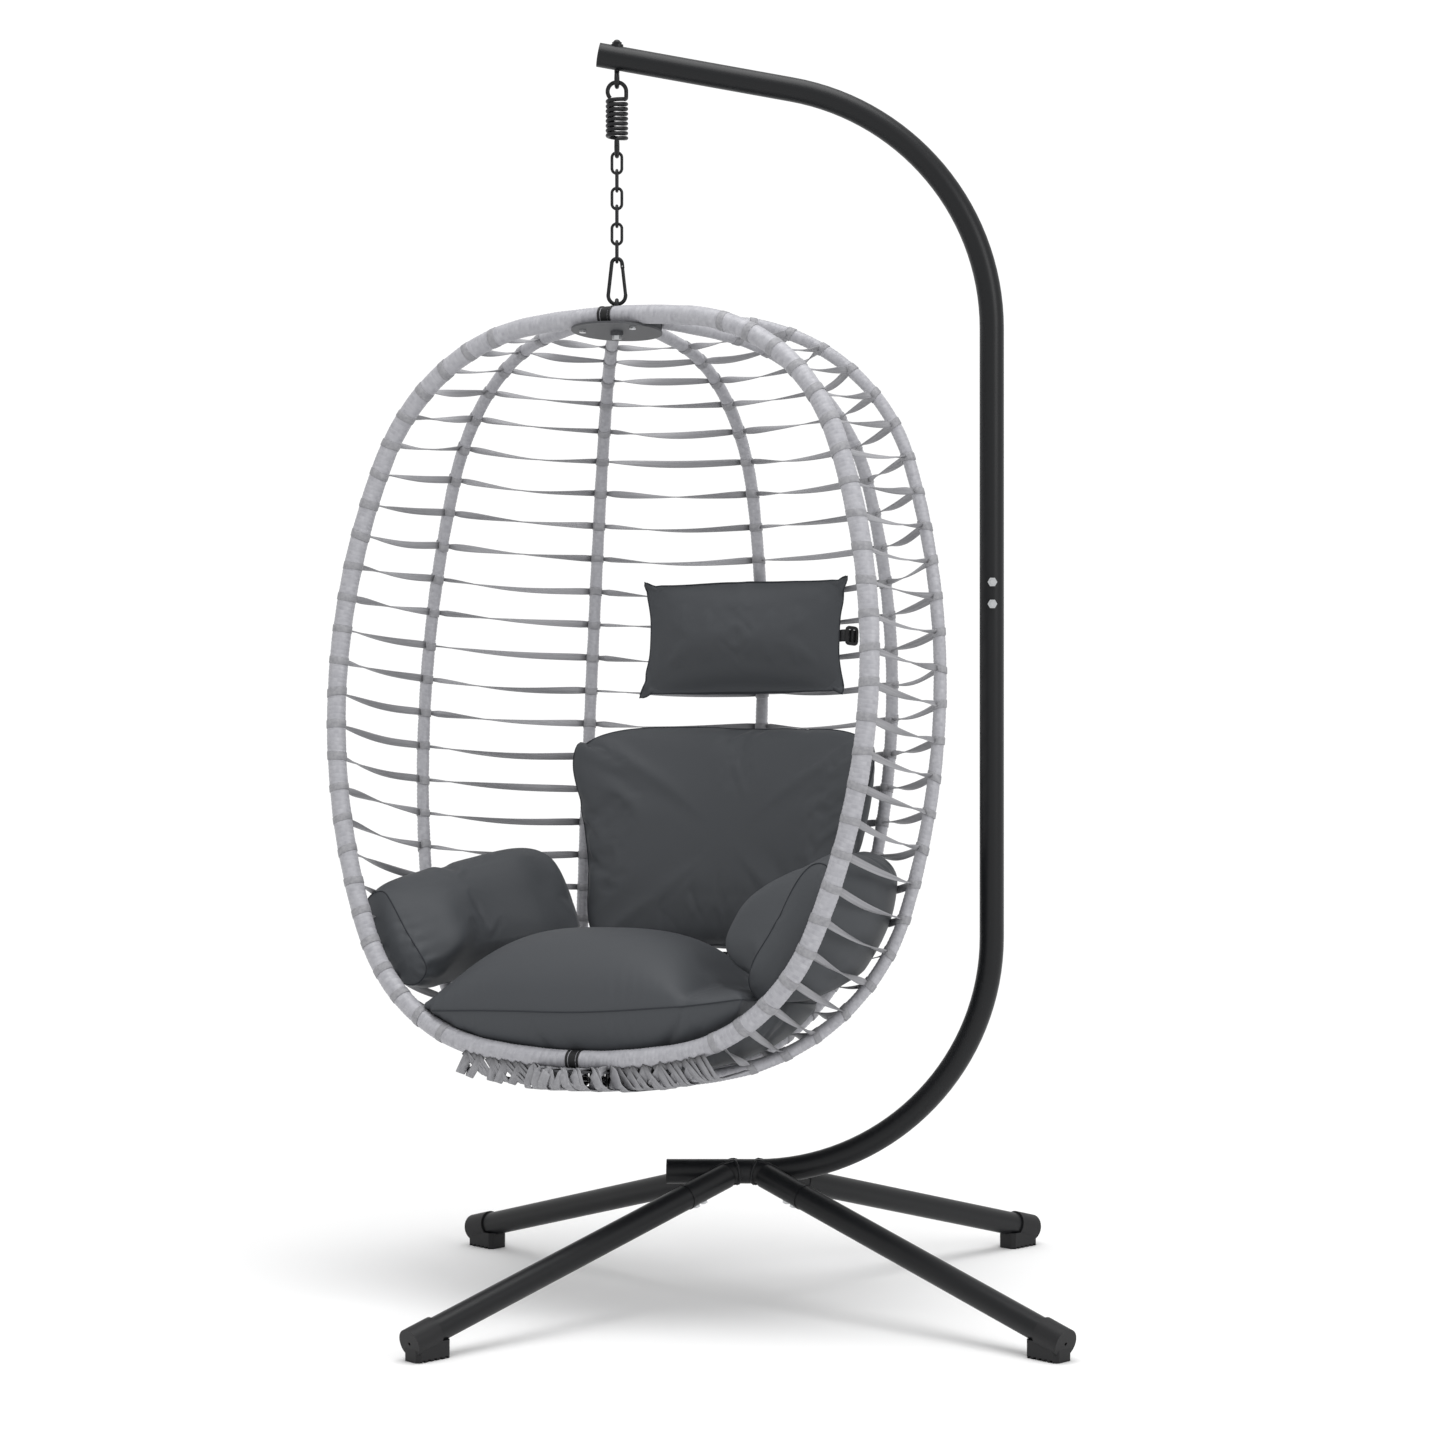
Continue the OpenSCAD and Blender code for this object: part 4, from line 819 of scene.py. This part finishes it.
def boxed(name, skin, cells):
    """A closed grid of cells put in place point by point. Returns it and its front seam."""
    nx, ny, nz = cells
    index, verts, faces = {}, [], []

    def vertex(i, j, k):
        if (i, j, k) not in index:
            index[(i, j, k)] = len(verts)
            verts.append(skin(2 * i / nx - 1, 2 * j / ny - 1, 2 * k / nz - 1))
        return index[(i, j, k)]

    def panel(first, second, corner):
        for p in range(first):
            for q in range(second):
                around = (p, q), (p, q + 1), (p + 1, q + 1), (p + 1, q)
                faces.append([vertex(*corner(a, b)) for a, b in around])

    for k in (0, nz):
        panel(nx, ny, lambda p, q, k=k: (p, q, k))
    for j in (0, ny):
        panel(nx, nz, lambda p, q, j=j: (p, j, q))
    for i in (0, nx):
        panel(ny, nz, lambda p, q, i=i: (i, p, q))
    loop = [(0, 0, k) for k in range(nz)] + [(0, j, nz) for j in range(ny)]
    loop += [(0, ny, k) for k in range(nz, 0, -1)] + [(0, j, 0) for j in range(ny, 0, -1)]
    obj = mesh_piece(name, to_row(verts), faces, cloth_mat)
    return obj, [index[key] for key in loop]


arm_left, arm_left_seam = boxed("arm_left", left_arm, ARM_CELLS)
arm_right, arm_right_seam = boxed("arm_right", right_arm, ARM_CELLS)

for piece in (seat, back_cushion, pillow, arm_left, arm_right):
    work = bmesh.new()
    work.from_mesh(piece.data)
    bmesh.ops.recalc_face_normals(work, faces=work.faces)
    work.to_mesh(piece.data)
    work.free()

puff(seat, 4.0, 14)
puff(back_cushion, 4.0, 14)
puff(pillow, 3.0, 8)
puff(arm_left, 4.0, 12)
puff(arm_right, 4.0, 12)


def gather(obj, rim, height, reach, pitch, seed):
    """Small puckers that run away from a seam, stronger in some places than in others."""
    mesh = obj.data
    tree = KDTree(len(rim))
    run, last = [], None
    for n, i in enumerate(rim):
        co = mesh.vertices[i].co
        run.append(0.0 if last is None else run[-1] + (co - last).length / MM)
        last = co
        tree.insert(co, n)
    tree.balance()
    normals = [v.normal.copy() for v in mesh.vertices]
    for v, normal in zip(mesh.vertices, normals):
        _, n, away = tree.find(v.co)
        away /= MM
        t = run[n]
        wave = math.sin(2 * math.pi * t / pitch + 1.7 * math.sin(t / 37 + seed))
        patch = max(0.0, math.sin(t / 53 + seed) + 0.35 * math.sin(t / 19 + 2 * seed))
        size = height * wave * patch * math.exp(-away / reach) * min(1.0, away / 4)
        v.co = v.co + normal * size * MM


for cushion, rim, height, reach, pitch, seed in (
    (seat, seat_rim, 4.5, 20, 19, 0.6),
    (back_cushion, back_rim, 1.6, 15, 23, 2.2),
    (pillow, pillow_rim, 1.2, 12, 17, 1.1),
    (arm_left, arm_left_seam, 4.0, 16, 21, 0.3),
    (arm_right, arm_right_seam, 4.0, 16, 21, 1.9),
):
    gather(cushion, rim, height, reach, pitch, seed)

CLAMP_FROM, CLAMP_STEP = 300.0, 4.0
RIB_SPARE, HOOP_SPARE = 1.6, 1.2
wall_s = np.arange(CLAMP_FROM, RIB.length, CLAMP_STEP)
wall_line = np.array([RIB.at(s)[0] for s in wall_s])
wall_normal = np.array([Path.heading(RIB.at(s)[1]) for s in wall_s])
hoop_line = np.array([HOOP.at(s)[0] for s in np.arange(CLAMP_FROM, HOOP.length, CLAMP_STEP)])
FROM_ROW = np.linalg.inv(np.array(BASKET))


def keep_inside(obj, least):
    """Presses a cushion back where it would stand in the ribs or in the hoop."""
    row = np.array([v.co for v in obj.data.vertices])
    places = (row @ FROM_ROW[:3, :3].T + FROM_ROW[:3, 3]) / MM
    flat = np.stack([np.hypot(places[:, 0], places[:, 1]), places[:, 2]], 1)
    nearest = np.argmin(((flat[:, None] - wall_line[None]) ** 2).sum(2), 1)
    normal = wall_normal[nearest]
    depth = ((wall_line[nearest] - flat) * normal).sum(1)
    inset = flat - normal * np.maximum(0, least - depth)[:, None]
    places[:, :2] *= (inset[:, 0] / np.maximum(flat[:, 0], 1e-6))[:, None]
    places[:, 2] = inset[:, 1]
    across = np.stack([np.abs(places[:, 0]), places[:, 2]], 1)
    away = np.sqrt(((across[:, None] - hoop_line[None]) ** 2).sum(2).min(1))
    clear = HOOP_OD / 2 + HOOP_SPARE
    behind = np.sqrt(np.maximum(0, clear**2 - away**2)) - HOOP_FORWARD
    places[:, 1] = np.where(away < clear, np.maximum(places[:, 1], behind), places[:, 1])
    obj.data.vertices.foreach_set("co", to_row(places).ravel())
    obj.data.update()


for piece in (seat, back_cushion, arm_left, arm_right):
    keep_inside(piece, RIB_OD / 2 + RIB_SPARE)

for cushion, rim, seam, radius, node, fill in (
    (seat, seat_rim, "seat_seam", 1.1, "seat_cushion", 0.8),
    (back_cushion, back_rim, "back_seam", 1.0, "back_cushion", 0.7),
    (pillow, pillow_rim, "pillow_seam", 1.0, "head_pillow", 0.7),
    (arm_left, arm_left_seam, "arm_left_seam", 1.1, "left_arm_cushion", 0.7),
    (arm_right, arm_right_seam, "arm_right_seam", 1.1, "right_arm_cushion", 0.7),
):
    piping(seam, cushion, rim, radius)
    finish_cushion(cushion, rim, node)


# ---------------------------------------------------------------- the lacing under the basket
LACE_COUNT, LACE_PITCH, LACE_FIRST, LACE_LOW = 52, 8.2, -196, 12.0
LACE_STEPS, LACE_SHADE_FADE = 7, 1.6
hoop_low = np.array(sorted(tuple(HOOP.at(q)[0]) for q in np.arange(HOOP.length * 0.7, HOOP.length, 5.0)))


def lace_under(u, w):
    """Height of a lacing strip below the ribs or the hub."""
    return floor_at(max(math.hypot(u, w), 50)) - LACE_LOW


def lace_stops(u, run, low, lift):
    """Places that a strip passes, and the way it faces there, from the hoop to under the basket."""
    stops = [((u, -HOOP_FORWARD - 9.5, low - 12.6), (0, -0.7, -0.7))]
    if abs(u) >= HUB_R + 4:
        under_hoop = min(low - 17, lace_under(u, 0) + 3) - lift
        return stops + [
            ((u + 0.5 * run, -HOOP_FORWARD + 6, under_hoop), (0, -0.6, -1)),
            ((u + run, 34, lace_under(u + run, 34) + 4), (0, 0, -1)),
        ]
    edge = min(-math.sqrt((HUB_R + 5) ** 2 - u * u), -HOOP_FORWARD - 11)
    return stops + [
        ((u + 0.15 * run, edge - lift, low - 19), (0, -1, -0.2)),
        ((u + 0.35 * run, edge - lift, lace_under(u, 0) + 6), (0, -1, -0.4)),
        ((u + 0.5 * run, edge + 12, lace_under(u, 0) - lift), (0, -0.3, -1)),
        ((u + run, 72, lace_under(u + run, 72) + 3 - lift), (0, 0, -1)),
    ]


lace_rng = random.Random(17)
lacing = Builder()
for n in range(LACE_COUNT):
    u = LACE_FIRST + n * LACE_PITCH + lace_rng.uniform(-3, 3)
    run = lace_rng.uniform(26, 62) * (-1 if n % 3 == 1 else 1)
    low = float(np.interp(abs(u), hoop_low[:, 0], hoop_low[:, 1]))
    width = STRIP_W * lace_rng.uniform(1.0, 1.35)
    stops = np.array(lace_stops(u, run, low, lace_rng.uniform(0, 2.5)), float)
    share = np.linspace(0, len(stops) - 1, LACE_STEPS * (len(stops) - 1) + 1)
    line, outs = (
        np.stack([np.interp(share, range(len(stops)), stops[:, part, i]) for i in range(3)], 1)
        for part in (0, 1)
    )
    line[1:-1] = (line[:-2] + 2 * line[1:-1] + line[2:]) / 4
    rings, wind = [], []
    for i, q in enumerate(line):
        ahead = unit(line[min(i + 1, len(line) - 1)] - line[max(i - 1, 0)])
        across = unit(np.cross(ahead, outs[i]))
        through = np.cross(across, ahead)
        section = flat_section(width, STRIP_T)
        rings.append([q + across * a + through * t for a, t in section])
        wind.append([[n * 2.3, i * 0.4, 0.2 * a] for a, t in section])
    # Painted shade at the strip's first end, where it passes under the hoop, fading over a few rings.
    lacing.sweep(rings, wind, tuck=np.exp(-np.arange(len(line)) / LACE_SHADE_FADE))
lace_piece = lacing.piece("strips_lacing", strip_mat, "strip")
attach(lace_piece, "basket")


# ---------------------------------------------------------------- the pillow's strap and its buckle
STRAP_W, STRAP_T, STRAP_RIB_W, STRAP_ROUND = 20, 1.5, 512, 12.2
strap_line = [(-120, 470), (-60, 494), (-20, 511)]
for a in np.linspace(math.pi * 0.92, math.pi * 0.08, 15):
    strap_line.append((STRAP_ROUND * math.cos(a), STRAP_RIB_W + STRAP_ROUND * math.sin(a)))
strap_line += [(20, 511), (60, 494), (120, 467), (170, 444), (190, 434.5)]
strap_line += [(195.5, 434.5), (198.5, 439), (203, 450), (206.5, 458)]
strap = Builder()
rings = []
for i, (u, w) in enumerate(strap_line):
    before, after = strap_line[max(i - 1, 0)], strap_line[min(i + 1, len(strap_line) - 1)]
    ahead = unit(np.array([after[0] - before[0], after[1] - before[1], 0.0]))
    through = np.array([-ahead[1], ahead[0], 0])
    place = np.array([u, w, PILLOW_Z])
    rings.append([place + np.array([0, 0, q]) + through * t for q, t in flat_section(STRAP_W, STRAP_T)])
strap.sweep(rings)
webbing = strap.piece("strap_webbing", web_mat, "strap_web")
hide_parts("pillow_strap")
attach(webbing, "basket")

BUCKLE_STEPS, BUCKLE_HALF_W, BUCKLE_HALF_H, BUCKLE_R, BAR_R = 40, 10.5, 13, 2.9, 2.4
buckle = Builder()
buckle_mid = np.array([203.2, 441.7, PILLOW_Z])
buckle_run = unit(np.array([11.2, 25.2, 0]))
loop = []
for t in np.linspace(0, 2 * math.pi, BUCKLE_STEPS, False):
    a, b = math.cos(t), math.sin(t)
    k = 1 / (abs(a) ** 6 + abs(b) ** 6) ** (1 / 6)
    loop.append(buckle_mid + buckle_run * BUCKLE_HALF_W * a * k + UP * BUCKLE_HALF_H * b * k)
rings = []
for i, p in enumerate(loop):
    ahead = unit(loop[(i + 1) % BUCKLE_STEPS] - loop[i - 1])
    other = np.cross(buckle_run, UP)
    rings.append(circle(p, BUCKLE_R, other, np.cross(ahead, other), 12))
buckle.sweep(rings, closed=True)
bar = [buckle_mid + UP * h for h in (-BUCKLE_HALF_H, -6, 0, 6, BUCKLE_HALF_H)]
buckle.sweep(wire_rings(bar, BAR_R, 12))
frame_piece = buckle.piece("buckle_frame", plastic, "black_plastic", attribute=False)
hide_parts("strap_buckle")
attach(frame_piece, "basket")


# ---------------------------------------------------------------- stage, light and camera
def plane(name, size, material):
    half = size / 2
    corners = [(-half, -half, 0), (half, -half, 0), (half, half, 0), (-half, half, 0)]
    return mesh_piece(name, corners, [(0, 1, 2, 3)], material, smooth=False)


FLOOR_FADE, FLOOR_SIZE, FLOOR_DROP = 2.6, 60, 0.0005
BACKDROP_GLOW, SKY_LIGHT = 1.05, 0.8


def floor_material():
    """White floor with soft shadows near the chair, fading to plain white further out."""
    material = new_material("floor_white", (0.93, 0.93, 0.93), 0.9, specular=0.0)
    nodes, links = material.node_tree.nodes, material.node_tree.links
    where = nodes.new("ShaderNodeTexCoord")
    mapping = nodes.new("ShaderNodeMapping")
    mapping.inputs["Scale"].default_value = (1 / FLOOR_FADE, 1 / FLOOR_FADE, 0)
    fade = nodes.new("ShaderNodeTexGradient")
    fade.gradient_type = "QUADRATIC_SPHERE"
    ramp = nodes.new("ShaderNodeValToRGB")
    ramp.color_ramp.elements[0].position = 0.02
    ramp.color_ramp.elements[1].position = 0.28
    glow = nodes.new("ShaderNodeEmission")
    glow.inputs["Strength"].default_value = BACKDROP_GLOW
    mix = nodes.new("ShaderNodeMixShader")
    links.new(where.outputs["Object"], mapping.inputs["Vector"])
    links.new(mapping.outputs["Vector"], fade.inputs["Vector"])
    links.new(fade.outputs["Fac"], ramp.inputs["Fac"])
    links.new(ramp.outputs["Color"], mix.inputs["Fac"])
    links.new(glow.outputs["Emission"], mix.inputs[1])
    links.new(nodes["Principled BSDF"].outputs["BSDF"], mix.inputs[2])
    links.new(mix.outputs["Shader"], nodes["Material Output"].inputs["Surface"])
    return material


floor = plane("floor", FLOOR_SIZE, floor_material())
floor.location.z = -FLOOR_DROP

world = bpy.data.worlds.new("studio")
bpy.context.scene.world = world
world.use_nodes = True
nodes, links = world.node_tree.nodes, world.node_tree.links
sky = nodes["Background"]
sky.inputs["Color"].default_value = (1, 1, 1, 1)
sky.inputs["Strength"].default_value = SKY_LIGHT
seen = nodes.new("ShaderNodeBackground")
seen.inputs["Color"].default_value = (1, 1, 1, 1)
seen.inputs["Strength"].default_value = BACKDROP_GLOW
path = nodes.new("ShaderNodeLightPath")
choose = nodes.new("ShaderNodeMixShader")
links.new(path.outputs["Is Camera Ray"], choose.inputs["Fac"])
links.new(sky.outputs["Background"], choose.inputs[1])
links.new(seen.outputs["Background"], choose.inputs[2])
links.new(choose.outputs["Shader"], nodes["World Output"].inputs["Surface"])


def area_light(name, place, target, size, power):
    data = bpy.data.lights.new(name, "AREA")
    data.shape = "RECTANGLE"
    data.size, data.size_y = size
    data.energy = power
    obj = bpy.data.objects.new(name, data)
    obj.location = place
    obj.rotation_mode = "QUATERNION"
    obj.rotation_quaternion = (Vector(target) - Vector(place)).to_track_quat("-Z", "Y")
    bpy.context.scene.collection.objects.link(obj)


area_light("overhead", (0.2, -0.5, 4.6), (0, 0.0, 0.0), (3.2, 3.0), 110)
area_light("front_right", (3.6, -3.6, 2.6), (0, 0, 1.0), (2.0, 2.0), 60)

CAMERA_LENS, CAMERA_SHIFT = 87.295, (-0.0804, -0.0971)
CAMERA_PLACE = (0.2345, -5.4586, 1.11467)
scene = bpy.context.scene
scene.view_settings.view_transform = "Standard"
scene.view_settings.look = "None"
camera_data = bpy.data.cameras.new("camera")
camera_data.sensor_fit = "HORIZONTAL"
camera_data.sensor_width = 36
camera_data.lens = CAMERA_LENS
camera_data.shift_x, camera_data.shift_y = CAMERA_SHIFT
camera_data.clip_start, camera_data.clip_end = 0.1, 100
camera = bpy.data.objects.new("camera", camera_data)
camera.location = CAMERA_PLACE
camera.rotation_euler = (math.pi / 2, 0, 0)
scene.collection.objects.link(camera)
scene.camera = camera
